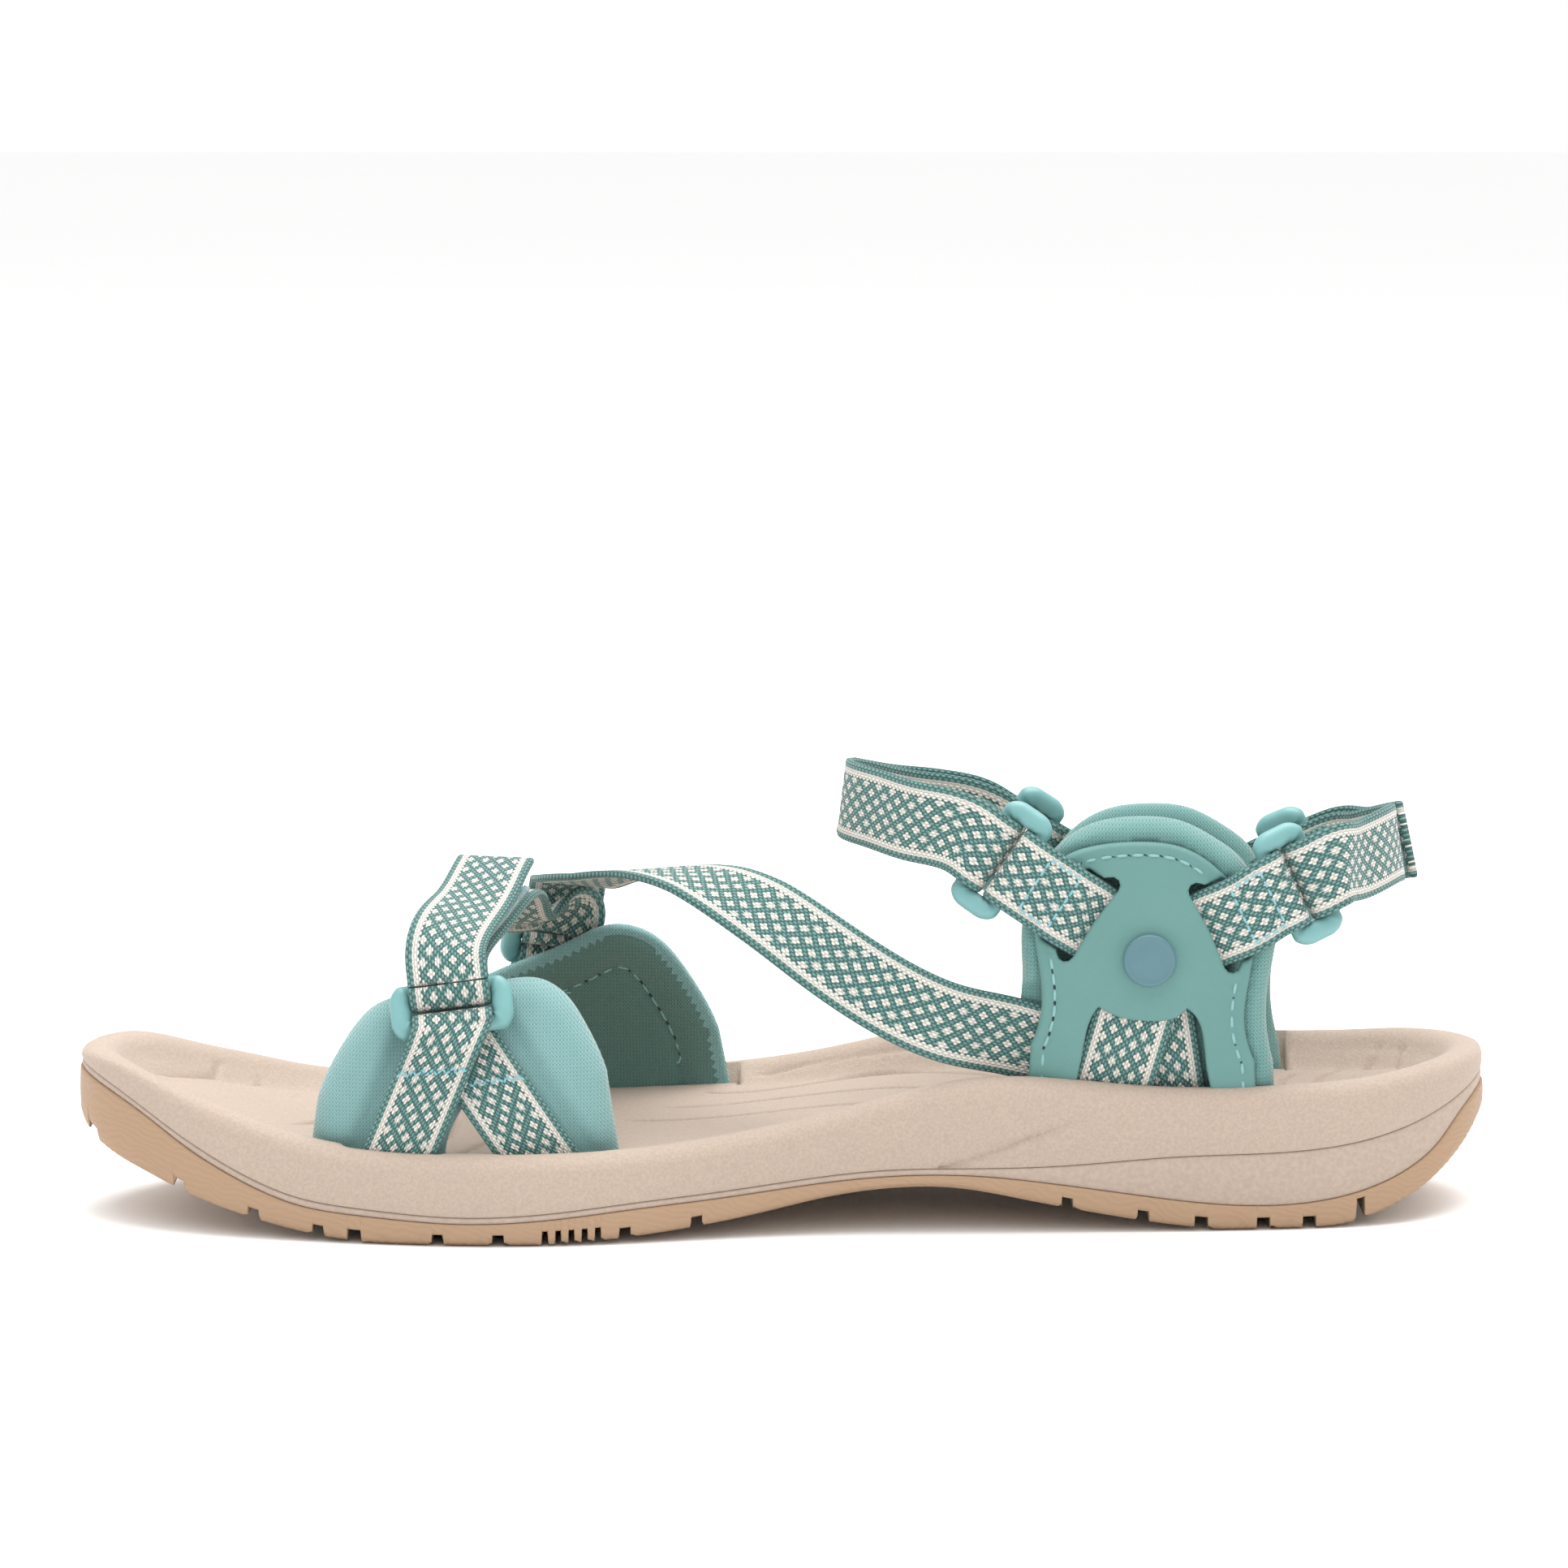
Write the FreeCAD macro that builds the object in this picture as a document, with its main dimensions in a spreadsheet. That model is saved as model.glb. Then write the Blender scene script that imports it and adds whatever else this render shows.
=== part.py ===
import FreeCAD, Part
import math
import os

# Strappy sport sandal for the right foot. Millimetres, +Z up, toe at -X, medial (inner) side at -Y.

Vector = FreeCAD.Vector
doc = FreeCAD.newDocument("StrappySandal")

# ---------------------------------------------------------------- driving sizes
SIZES = {
    "webbing_width": 14.8,
    "webbing_thick": 1.4,
    "ring_bar_radius": 1.4,
    "ring_bar_spacing": 7.4,
    "ring_half_length": 9.1,
    "ring_corner": 2.0,
    "fixed_loop_gap": 0.3,
    "free_loop_gap": 0.9,
    "toe_pad_thick": 4.5,
    "quarter_pad_inside": 3.0,
    "quarter_pocket_deep": 3.35,
    "overlay_start": 3.5,
    "overlay_thick": 1.2,
    "patch_thick": 1.0,
    "rivet_cap_radius": 4.85,
    "rivet_cap_height": 1.3,
    "rivet_post_radius": 1.6,
    "washer_radius": 4.2,
    "washer_thick": 0.7,
    "shank_length": 52.0,
    "shank_width": 18.0,
    "shank_thick": 1.5,
    "groove_depth": 2.0,
    "groove_width": 2.0,
    "half_span": 70.0,
    "tail_gap": 0.25,
}
sheet = doc.addObject("Spreadsheet::Sheet", "Sizes")
for row, (alias, value) in enumerate(SIZES.items(), start=1):
    sheet.set("A%d" % row, alias.replace("_", " "))
    sheet.set("B%d" % row, str(value))
    sheet.setAlias("B%d" % row, alias)
doc.recompute()


def size(alias):
    return float(sheet.get(alias))


WIDTH = size("webbing_width")
THICK = size("webbing_thick")
SPACING = size("ring_bar_spacing")
FIXED_LOOP = size("ring_bar_radius") + size("fixed_loop_gap") + THICK / 2
FREE_LOOP = size("ring_bar_radius") + size("free_loop_gap") + THICK / 2
OVERLAY_IN = size("overlay_start")
OVERLAY_OUT = OVERLAY_IN + size("overlay_thick")

parts = {}


def keep(obj, label):
    obj.Label = label
    parts[label] = obj
    return obj


# ---------------------------------------------------------------- sketch and solid helpers
XZ_PLANE = FreeCAD.Placement(Vector(0, 0, 0), FreeCAD.Rotation(Vector(1, 0, 0), 90))
YZ_TURN = FreeCAD.Rotation(Vector(0, 1, 0), Vector(0, 0, 1), Vector(1, 0, 0), "ZXY")


def spline(points, closed=False):
    curve = Part.BSplineCurve()
    curve.interpolate([Vector(x, y, 0) for x, y in points], PeriodicFlag=closed)
    return curve


def line(start, end):
    return Part.LineSegment(Vector(start[0], start[1], 0), Vector(end[0], end[1], 0))


def polygon(points):
    return [line(points[i - 1], points[i]) for i in range(len(points))]


def sketch(name, curves, placement=None):
    obj = doc.addObject("Sketcher::SketchObject", name)
    for curve in curves:
        obj.addGeometry(curve, False)
    if placement is not None:
        obj.Placement = placement
    return obj


def extrude(name, curves, direction, span="half_span"):
    placement = XZ_PLANE if direction == "Y" else None
    obj = doc.addObject("Part::Extrusion", name)
    obj.Base = sketch(name + "_sketch", curves, placement)
    obj.DirMode = "Custom"
    obj.Dir = Vector(0, 1, 0) if direction == "Y" else Vector(0, 0, 1)
    obj.Solid = True
    obj.setExpression("LengthFwd", "Sizes." + span)
    obj.setExpression("LengthRev", "Sizes." + span)
    return obj


def combine(kind, name, base, tool):
    obj = doc.addObject("Part::" + kind, name)
    obj.Base = base
    obj.Tool = tool
    return obj


def common(name, base, tool):
    return combine("Common", name, base, tool)


def cut(name, base, tool):
    return combine("Cut", name, base, tool)


def fuse(name, shapes):
    obj = doc.addObject("Part::MultiFuse", name)
    obj.Shapes = shapes
    return obj


def box(name, low, high):
    obj = doc.addObject("Part::Box", name)
    obj.Length = high[0] - low[0]
    obj.Width = high[1] - low[1]
    obj.Height = high[2] - low[2]
    obj.Placement.Base = Vector(*low)
    return obj


# ---------------------------------------------------------------- barrel-shaped side surfaces
class Barrel:
    """Side wall of the upper: an arc in the vertical plane turned about a vertical axis inside the shoe."""

    def __init__(self, name, side, middle_x, base_y, base_z, plan_radius, arc_radius, arc_z):
        self.name = name
        self.side = side
        self.x = middle_x
        self.arc = arc_radius
        self.arc_z = arc_z
        self.centre = plan_radius - math.sqrt(arc_radius ** 2 - (base_z - arc_z) ** 2)
        self.axis_y = base_y - side * plan_radius

    def reach(self, z, offset):
        return self.centre + math.sqrt((self.arc + offset) ** 2 - (z - self.arc_z) ** 2)

    def point(self, x, z, offset=0.0):
        reach = self.reach(z, offset)
        y = self.axis_y + self.side * math.sqrt(reach ** 2 - (x - self.x) ** 2)
        return Vector(x, y, z)

    def normal(self, x, z, offset=0.0):
        out = self.point(x, z, offset) - Vector(self.x, self.axis_y, z)
        out.normalize()
        rise = (z - self.arc_z) / (self.arc + offset)
        flat = math.sqrt(1 - rise ** 2)
        return Vector(out.x * flat, out.y * flat, rise)

    def shell(self, inner, outer, low, high, label):
        """Solid between two offsets from the surface, from height low to height high."""
        corners = {}
        arcs = []
        for offset in (inner, outer):
            radius = self.arc + offset
            middle_z = (low + high) / 2
            stations = []
            for z in (low, middle_z, high):
                reach = self.centre + math.sqrt(radius ** 2 - (z - self.arc_z) ** 2)
                stations.append(Vector(self.axis_y + self.side * reach, z, 0))
            arcs.append(Part.Arc(*stations))
            corners[offset] = (stations[0], stations[-1])
        ends = [Part.LineSegment(corners[inner][i], corners[outer][i]) for i in (0, 1)]
        plane = FreeCAD.Placement(Vector(self.x, 0, 0), YZ_TURN)
        profile = sketch(self.name + label + "_band", arcs + ends, plane)
        obj = doc.addObject("Part::Revolution", self.name + label)
        obj.Source = profile
        obj.Axis = Vector(0, 0, 1)
        obj.Base = Vector(self.x, self.axis_y, 0)
        obj.Angle = 50
        obj.Symmetric = True
        obj.Solid = True
        return obj


TOE_MEDIAL = Barrel("ToeMedial", -1, -57, -39.8, 16, 100, 60, 16)
TOE_LATERAL = Barrel("ToeLateral", 1, -40, 40.5, 16, 100, 60, 16)
QUARTER_MEDIAL = Barrel("QuarterMedial", -1, 66, -26.6, 26, 120, 110, 46)
QUARTER_LATERAL = Barrel("QuarterLateral", 1, 70, 27.2, 26, 120, 110, 46)


# ---------------------------------------------------------------- webbing as ribbons
def stations_through(points, normals, step=3.5):
    """Stations (point, normal) along a smooth curve through the given points."""
    lengths = [0.0]
    for before, after in zip(points, points[1:]):
        lengths.append(lengths[-1] + (after - before).Length)
    path = Part.BSplineCurve()
    path.interpolate(points, Parameters=lengths)
    count = max(2, int(round(lengths[-1] / step)))
    stations = []
    for i in range(count + 1):
        along = lengths[-1] * i / count
        leg = max(k for k in range(len(lengths) - 1) if lengths[k] <= along)
        share = (along - lengths[leg]) / (lengths[leg + 1] - lengths[leg])
        stations.append((path.value(along), normals[leg] * (1 - share) + normals[leg + 1] * share))
    return stations


def frame_at(stations, i):
    """Direction along, across and out of the strap at one station."""
    before = stations[max(i - 1, 0)][0]
    after = stations[min(i + 1, len(stations) - 1)][0]
    along = (after - before).normalize()
    across = along.cross(stations[i][1]).normalize()
    return along, across, across.cross(along).normalize()


def ribbon(label, stations, thick=THICK, width=WIDTH, crown=None, bar=None):
    """Flat strap carried through the stations. Crown lists how far both edges drop at each station, so that
    the strap follows a rounded panel; bar is the direction of a ring bar that the sections stay parallel to."""
    crown = crown or [0.0] * len(stations)
    wires = []
    for i, (point, _) in enumerate(stations):
        along, across, up = frame_at(stations, i)
        half = across * (width / 2)
        if bar is not None:
            sense = 1 if bar.dot(across) > 0 else -1
            flat = bar - up * bar.dot(up)
            half = flat.normalize() * (sense * width / 2)
        corners = []
        for side, lift in ((-1, -1), (0, -1), (1, -1), (1, 1), (0, 1), (-1, 1)):
            drop = crown[i] * abs(side)
            corners.append(point + half * side + up * (lift * thick / 2 - drop))
        if not any(crown):
            corners = [corners[k] for k in (0, 2, 3, 5)]
        wires.append(Part.makePolygon(corners + corners[:1]))
    obj = doc.addObject("Part::Feature", label)
    obj.Shape = Part.makeLoft(wires, True, True)
    return keep(obj, label)


def planted(label, stations, base, crown=None, bar=None, hole=None):
    """Webbing leg whose lower end is cut level at the bottom of its slot, with an optional rivet hole."""
    strip = ribbon(label + "_strip", stations, crown=crown, bar=bar)
    del parts[label + "_strip"]
    tool = box(label + "_below", (-100, -60, base - 15), (110, 60, base))
    if hole is not None:
        tool = fuse(label + "_cuts", [tool, hole])
    return keep(cut(label + "_piece", strip, tool), label)


def shifted(stations, distance):
    """The same stations moved out of the strap by a distance."""
    moved = []
    for i, (point, _) in enumerate(stations):
        up = frame_at(stations, i)[2]
        moved.append((point + up * distance, up))
    return moved


class Ring:
    """Two-bar ring. Bar b holds the fixed tab, bar a the strap; t runs from b to a, n points outwards."""

    def __init__(self, barrel, x, z, offset, heading):
        self.centre = barrel.point(x, z, offset)
        self.n = barrel.normal(x, z, offset)
        flat = Vector(math.cos(math.radians(heading)), 0, math.sin(math.radians(heading)))
        self.t = (flat - self.n * flat.dot(self.n)).normalize()
        self.w = self.t.cross(self.n).normalize()
        self.a = self.centre + self.t * (SPACING / 2)
        self.b = self.centre - self.t * (SPACING / 2)

    def arc(self, bar, radius, start, end, sign, count=9):
        """Stations round a bar; angles in degrees from t towards n."""
        stations = []
        for i in range(count + 1):
            angle = math.radians(start + (end - start) * i / count)
            out = self.t * math.cos(angle) + self.n * math.sin(angle)
            stations.append((bar + out * radius, out * sign))
        return stations

    def point(self, along, out, bar=None):
        origin = self.centre if bar is None else bar
        return origin + self.t * along + self.n * out

    def build(self, label):
        body = doc.addObject("PartDesign::Body", label)
        planes = {feature.Role: feature for feature in body.Origin.OriginFeatures}
        half = size("ring_half_length")
        deep = SPACING / 2
        corner = size("ring_corner")
        path = body.newObject("Sketcher::SketchObject", label + "_path")
        path.AttachmentSupport = [(planes["XY_Plane"], "")]
        path.MapMode = "FlatFace"
        centres = [(half - corner, deep - corner, 0), (corner - half, deep - corner, 90),
                   (corner - half, corner - deep, 180), (half - corner, corner - deep, 270)]
        ends = []
        for x, y, start in centres:
            circle = Part.Circle(Vector(x, y, 0), Vector(0, 0, 1), corner)
            first = math.radians(start)
            last = math.radians(start + 90)
            path.addGeometry(Part.ArcOfCircle(circle, first, last), False)
            ends.append([Vector(x + corner * math.cos(a), y + corner * math.sin(a), 0) for a in (first, last)])
        for i in range(4):
            path.addGeometry(Part.LineSegment(ends[i - 1][1], ends[i][0]), False)
        profile = body.newObject("Sketcher::SketchObject", label + "_section")
        profile.AttachmentSupport = [(planes["YZ_Plane"], "")]
        profile.MapMode = "FlatFace"
        profile.addGeometry(Part.Circle(Vector(deep, 0, 0), Vector(0, 0, 1), size("ring_bar_radius")), False)
        pipe = body.newObject("PartDesign::AdditivePipe", label + "_pipe")
        pipe.Profile = profile
        pipe.Spine = path
        turn = FreeCAD.Rotation(self.w, self.t, self.n * -1, "ZXY")
        body.Placement = FreeCAD.Placement(self.centre, turn)
        return keep(body, label)


# ---------------------------------------------------------------- sole
PLAN = [(-131, -9), (-127.5, -21), (-117, -31), (-103, -37.5), (-88, -42), (-70, -46), (-54, -47.5),
        (-38, -46.5), (-22, -43), (-5, -38.8), (15, -36), (35, -35.5), (55, -34.5), (80, -33),
        (100, -30.5), (115, -25.5), (126, -15.5), (131, 0), (127, 14), (117, 25), (102, 31.5),
        (80, 34), (55, 34), (30, 34.5), (10, 37.5), (-10, 43), (-28, 47), (-42, 47.5), (-60, 45.5),
        (-80, 39.5), (-98, 31), (-114, 20), (-126, 6)]
TRAY = [(-123, -10), (-112, -24), (-98, -31), (-82, -36), (-65, -39.5), (-50, -40.5), (-34, -39),
        (-15, -34.5), (10, -30), (40, -28.5), (75, -26.5), (98, -24), (112, -18), (120, -9), (123.5, 1),
        (119, 12), (108, 21), (92, 26.5), (60, 27.5), (30, 28.5), (5, 32), (-20, 38.5), (-42, 40.5),
        (-62, 38.5), (-82, 32), (-100, 22), (-114, 10)]
UNDER_TOE = [(-134, 20.5), (-126, 14), (-118, 10.6), (-107, 6.3), (-95, 2.9), (-84, 0.8), (-72, 0)]
UNDER_ARCH = [(-45, 0), (-30, 0.8), (-16, 2.3), (-4, 4.3), (8, 6.8), (20, 8.3), (32, 8.2), (44, 6),
              (56, 3.6), (68, 1.5), (80, 0)]
UNDER_HEEL = [(100, 0), (106, 1), (112, 3.1), (118, 6), (124, 10.3), (128.5, 14.8), (134, 23)]
OUTSOLE_TOP = [(-134, 28), (-125.4, 25), (-117, 20.6), (-110.4, 16.2), (-100, 10.5), (-89, 6.4),
               (-77, 4.9), (-60, 3.9), (-45, 4.4), (-28, 6), (-10, 7.5), (5, 9.2), (20, 10.5),
               (36, 10.4), (50, 8.8), (63, 6.9), (78, 4.9), (97, 4.7), (106, 6.3), (115.7, 10),
               (121, 13.6), (126, 19), (134, 24.5)]
MIDSOLE_TOP = [(-134, 29.3), (-125, 26.2), (-113, 19.2), (-101, 12.4), (-89, 7.8), (-77, 6.2),
               (-60, 5.1), (-45, 5.6), (-28, 7.2), (-10, 8.7), (5, 10.4), (20, 11.7), (32, 11.9),
               (52, 12.3), (72, 13.7), (88, 14.1), (103, 15.2), (117.4, 18.7), (126, 22.4), (134, 27)]
RIM_TOP = [(-134, 30), (-124, 30.3), (-113, 26.5), (-103, 23), (-93, 19.8), (-80, 17.3), (-65, 16.3),
           (-45, 16.2), (-25, 16.8), (-8, 18.8), (8, 22), (22, 25.6), (36, 28.3), (50, 28),
           (65, 26.8), (80, 26.3), (95, 26.3), (110, 27.3), (122, 29), (134, 29.8)]
FOOT_TOP = [(-134, 26.5), (-122, 24), (-112, 21), (-100, 17.8), (-88, 15.6), (-75, 14.2), (-55, 13.6),
            (-35, 13.8), (-15, 15), (5, 17), (25, 19.5), (45, 20.8), (65, 20.6), (85, 20.2),
            (100, 20.4), (115, 21.5), (134, 24)]


def under_curves(lift=0.0):
    """Underside of the outsole: toe curve, flat ball contact, arch curve, flat heel contact, heel curve."""
    def up(points):
        return [(x, z + lift) for x, z in points]
    toe, arch, heel = up(UNDER_TOE), up(UNDER_ARCH), up(UNDER_HEEL)
    return [spline(toe), line(toe[-1], arch[0]), spline(arch), line(arch[-1], heel[0]), spline(heel)]


def band(name, lower, upper, lower_ends, upper_points):
    """Extruded region between two side-view curves."""
    sides = [line(lower_ends[0], upper_points[0]), line(lower_ends[1], upper_points[-1])]
    return extrude(name, lower + upper + sides, "Y")


plan = extrude("Plan", [spline(PLAN, True)], "Z")
outsole_band = band("OutsoleBand", under_curves(), [spline(OUTSOLE_TOP)],
                    (UNDER_TOE[0], UNDER_HEEL[-1]), OUTSOLE_TOP)
outsole_blank = common("OutsoleBlank", plan, outsole_band)

GROOVES = [-112, -98, -86, -64, -53, -30, -17, 51, 65, 105.5]
groove_bars = []
for number, x in enumerate(GROOVES):
    bar = box("Groove%d" % number, (x, -60, -5), (x + size("groove_width"), 60, 30))
    bar.setExpression("Length", "Sizes.groove_width")
    groove_bars.append(bar)
groove_bars.append(box("BallGrooveMedial", (-100, -15, -5), (-20, -13.2, 30)))
groove_bars.append(box("BallGrooveLateral", (-100, 13.2, -5), (-20, 15, 30)))
groove_bars.append(box("HeelGrooveMiddle", (52, -0.9, -5), (106, 0.9, 30)))
lifted = size("groove_depth")
floor_line = [(-140, -10), (140, -10)]
under_skin = extrude("UnderSkin", under_curves(lifted) + [
    line((UNDER_TOE[0][0], UNDER_TOE[0][1] + lifted), floor_line[0]),
    line((UNDER_HEEL[-1][0], UNDER_HEEL[-1][1] + lifted), floor_line[1]),
    line(*floor_line)], "Y")
grooves = common("Grooves", fuse("GrooveBars", groove_bars), under_skin)
keep(cut("Outsole", outsole_blank, grooves), "outsole")

midsole_band = band("MidsoleBand", [spline(OUTSOLE_TOP)], [spline(MIDSOLE_TOP)],
                    (OUTSOLE_TOP[0], OUTSOLE_TOP[-1]), MIDSOLE_TOP)
keep(common("Midsole", plan, midsole_band), "midsole")

footbed_band = band("FootbedBand", [spline(MIDSOLE_TOP)], [spline(RIM_TOP)],
                    (MIDSOLE_TOP[0], MIDSOLE_TOP[-1]), RIM_TOP)
tray_band = extrude("TrayBand", [spline(FOOT_TOP), line(FOOT_TOP[0], (-134, 60)),
                                 line((-134, 60), (134, 60)), line(FOOT_TOP[-1], (134, 60))], "Y")
tray = common("Tray", extrude("TrayPlan", [spline(TRAY, True)], "Z"), tray_band)

shank = box("Shank", (-6, -9, 12.2), (46, 9, 13.7))
shank.setExpression("Length", "Sizes.shank_length")
shank.setExpression("Width", "Sizes.shank_width")
shank.setExpression("Height", "Sizes.shank_thick")
keep(shank, "arch_shank")
shank_pocket = box("ShankPocket", (-6.05, -9.05, 12.15), (46.05, 9.05, 13.75))


def sole_slot(barrel, inner, outer, low, high, x_low, x_high):
    """Slot in the footbed that takes the lower end of a side panel and its webbing."""
    shell = barrel.shell(inner, outer, low, high, "Slot")
    block = box(barrel.name + "SlotEnds", (x_low, -60, low - 1), (x_high, 60, high + 1))
    return common(barrel.name + "SlotCut", shell, block)


TOE_BASE = 10.5
QUARTER_BASE = 18.0
slots = [
    sole_slot(TOE_MEDIAL, -4.9, 4.4, TOE_BASE - 0.3, 24, -88.5, -28.5),
    sole_slot(TOE_LATERAL, -4.9, 4.4, TOE_BASE - 0.3, 24, -76.5, -8),
    sole_slot(QUARTER_MEDIAL, -3.4, 5.1, QUARTER_BASE - 0.3, 34, 33, 93),
    sole_slot(QUARTER_LATERAL, -3.4, 5.1, QUARTER_BASE - 0.3, 34, 45.5, 97.5),
]
footbed_blank = common("FootbedBlank", plan, footbed_band)
keep(cut("Footbed", footbed_blank, fuse("FootbedCuts", [tray, shank_pocket] + slots)), "footbed")


# ---------------------------------------------------------------- toe side: pad, two legs, ring
MEDIAL_PAD = [(-85.5, 25), (-80.4, 35.5), (-75, 41.5), (-69, 43.6), (-60, 45.4), (-52, 46),
              (-45, 46.2), (-40.5, 43.8), (-36.5, 38.5), (-32.5, 30)]
LATERAL_PAD = [(-74, 22), (-69, 29), (-62, 34), (-52, 38.8), (-42, 43), (-33, 47), (-26, 45.6),
               (-18.5, 37.5), (-12.5, 26)]


def toe_pad(label, barrel, outline, front, rear, notch):
    """Curved pad: side outline cut out of a shell, with an arched notch at the bottom edge."""
    foot_front = (front, TOE_BASE)
    foot_rear = (rear, TOE_BASE)
    left, right, top = notch
    middle = (left + right) / 2
    arch = spline([(left, TOE_BASE), (left + 1.5, top - 4), (middle, top), (right - 1.5, top - 4),
                   (right, TOE_BASE)])
    curves = [line(foot_front, outline[0]), spline(outline), line(outline[-1], foot_rear),
              line(foot_rear, (right, TOE_BASE)), arch, line((left, TOE_BASE), foot_front)]
    shell = barrel.shell(-size("toe_pad_thick"), 0, TOE_BASE - 3, 54, "Pad")
    keep(common(barrel.name + "PadPiece", extrude(barrel.name + "PadSide", curves, "Y"), shell), label)


toe_pad("toe_pad_medial", TOE_MEDIAL, MEDIAL_PAD, -87.5, -29.5, (-61.5, -51, 25.5))
toe_pad("toe_pad_lateral", TOE_LATERAL, LATERAL_PAD, -75.5, -9.5, (-47.5, -37, 25.5))


def toe_legs(side, barrel, ring, front_foot, rear_foot):
    """Front leg loops the ring bar from outside; the rear leg lies under it and joins inside the ring."""
    def lay(places):
        points = [barrel.point(x, z, off) for x, z, off in places]
        normals = [barrel.normal(x, z, off) for x, z, off in places]
        return points, normals

    top = ring.point(0, FIXED_LOOP, ring.b)
    reach = (top.x - front_foot) / (top.z - TOE_BASE)
    places = [(front_foot + reach * (z - TOE_BASE), z, off)
              for z, off in ((TOE_BASE - 6, 2.4), (17, 2.6), (24, 3.0), (top.z - 7, 5.0), (top.z - 3.3, 6.75))]
    points, normals = lay(places)
    front = stations_through(points + [top], normals + [ring.n])[:-1]
    turn = ring.arc(ring.b, FIXED_LOOP, 90, -84, 1)
    crown = [0.25] * (len(front) - 2) + [0.05, 0.0] + [0.0] * len(turn)
    planted("toe_webbing_%s_front" % side, front + turn, TOE_BASE, crown, ring.w)

    end = ring.point(-0.4, -FIXED_LOOP - 0.15, ring.b)
    reach = (end.x - rear_foot) / (end.z - TOE_BASE)
    places = [(rear_foot + reach * (z - TOE_BASE), z, 1.2) for z in (TOE_BASE - 6, 20, 29)]
    points, normals = lay(places)
    rear = stations_through(points + [end], normals + [ring.n])
    planted("toe_webbing_%s_rear" % side, rear, TOE_BASE, [0.2] * len(rear), ring.w)


toe_ring_medial = Ring(TOE_MEDIAL, -60.6, 42.3, 3.9, 97)
toe_ring_lateral = Ring(TOE_LATERAL, -43.5, 41.5, 3.9, 82)
toe_legs("medial", TOE_MEDIAL, toe_ring_medial, -72.5, -41.5)
toe_legs("lateral", TOE_LATERAL, toe_ring_lateral, -59, -23)
toe_ring_medial.build("toe_ring_medial")
toe_ring_lateral.build("toe_ring_lateral")


# ---------------------------------------------------------------- straps between rings
def tail_with_patches(name, ring, base, count, tip_lift=0.0):
    """Free strap end folded back over its own strap, with hook patch on it and loop patch on the strap."""
    gap = 0.2
    patch = size("patch_thick")
    out = THICK / 2 + gap / 2 + patch / 2
    tail_lift = 2 * out + patch + 0.3
    covered = base[:count]
    points = [ring.point(0.35, FREE_LOOP, ring.a), ring.point(5, FREE_LOOP - 0.5, ring.a)]
    normals = [ring.n, ring.n]
    rest = shifted(covered[4:], tail_lift)
    for i, (point, normal) in enumerate(rest):
        share = i / (len(rest) - 1)
        points.append(point + normal * (tip_lift * share ** 2))
        normals.append(normal)
    tail = stations_through(points, normals)
    ribbon(name + "_strap_tail", tail)
    patch_width = WIDTH - 2.4
    hook = shifted(tail, -out)[4:-1]
    ribbon(name + "_hook_patch", hook, patch, patch_width)
    ribbon(name + "_loop_patch", shifted(covered[4:-1], out), patch, patch_width)


def wrap_to_outside(ring):
    """Strap end coming in under bar a and round it to the outside, up to the hinge line of the free end."""
    stop = 90 + math.degrees(math.asin(size("tail_gap") / FREE_LOOP))
    return ring.arc(ring.a, FREE_LOOP, 265, stop, -1)


# Instep strap: from the arch slot over the instep to the lateral toe ring, then round its bar to the inside.
instep_points = [QUARTER_MEDIAL.point(55, 32.2, 0.95), QUARTER_MEDIAL.point(48, 33.6, 0.95),
                 QUARTER_MEDIAL.point(41.5, 35.1, 1.2), Vector(30.4, -29.5, 38), Vector(21.4, -30.2, 42),
                 Vector(8, -28.4, 50.3), Vector(-3.9, -23, 57.9), Vector(-15.9, -13.5, 62.3),
                 Vector(-26, -2, 61.8), Vector(-34.5, 9, 59), Vector(-40, 20, 56.7),
                 toe_ring_lateral.point(6, FREE_LOOP + 0.6, toe_ring_lateral.a),
                 toe_ring_lateral.point(0, FREE_LOOP, toe_ring_lateral.a)]
instep_normals = [Vector(-0.09, -1, -0.12), Vector(-0.14, -1, -0.1), Vector(-0.15, -1, 0), Vector(0.05, -1, 0.12),
                  Vector(0, -1, 0.2), Vector(0.05, -0.95, 0.35), Vector(0.1, -0.8, 0.6),
                  Vector(0.2, -0.45, 0.87), Vector(0.1, -0.05, 1), Vector(-0.05, 0.3, 0.95),
                  Vector(-0.05, 0.6, 0.8), toe_ring_lateral.n, toe_ring_lateral.n]
instep = stations_through(instep_points, instep_normals)
instep += toe_ring_lateral.arc(toe_ring_lateral.a, FREE_LOOP, 100, 265, 1)
planted("instep_strap", instep, QUARTER_BASE)

# Toe strap: from inside the lateral ring over the toes and round the bar of the medial ring.
ring = toe_ring_medial
toe_points = [ring.point(0, -FREE_LOOP, ring.a), ring.point(6, -FREE_LOOP, ring.a),
              Vector(-57.8, -17.5, 55.0), Vector(-54.5, -6, 57.3), Vector(-52, 6, 56.2),
              Vector(-49.5, 18, 49.4), toe_ring_lateral.point(6.5, -FREE_LOOP - 0.8, toe_ring_lateral.a),
              toe_ring_lateral.point(0.9, -FREE_LOOP, toe_ring_lateral.a)]
toe_normals = [ring.n, ring.n, Vector(0, -0.4, 0.9), Vector(0, -0.08, 1), Vector(0, 0.12, 1),
               Vector(0, 0.45, 0.9), toe_ring_lateral.n, toe_ring_lateral.n]
toe_base = stations_through(toe_points, toe_normals)
ribbon("toe_strap", list(reversed(wrap_to_outside(ring))) + toe_base)
tail_with_patches("toe", ring, toe_base, 12, 1.2)


# ---------------------------------------------------------------- heel quarters
def around(rivet, points):
    return [(rivet[0] + x, rivet[1] + z) for x, z in points]


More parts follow.
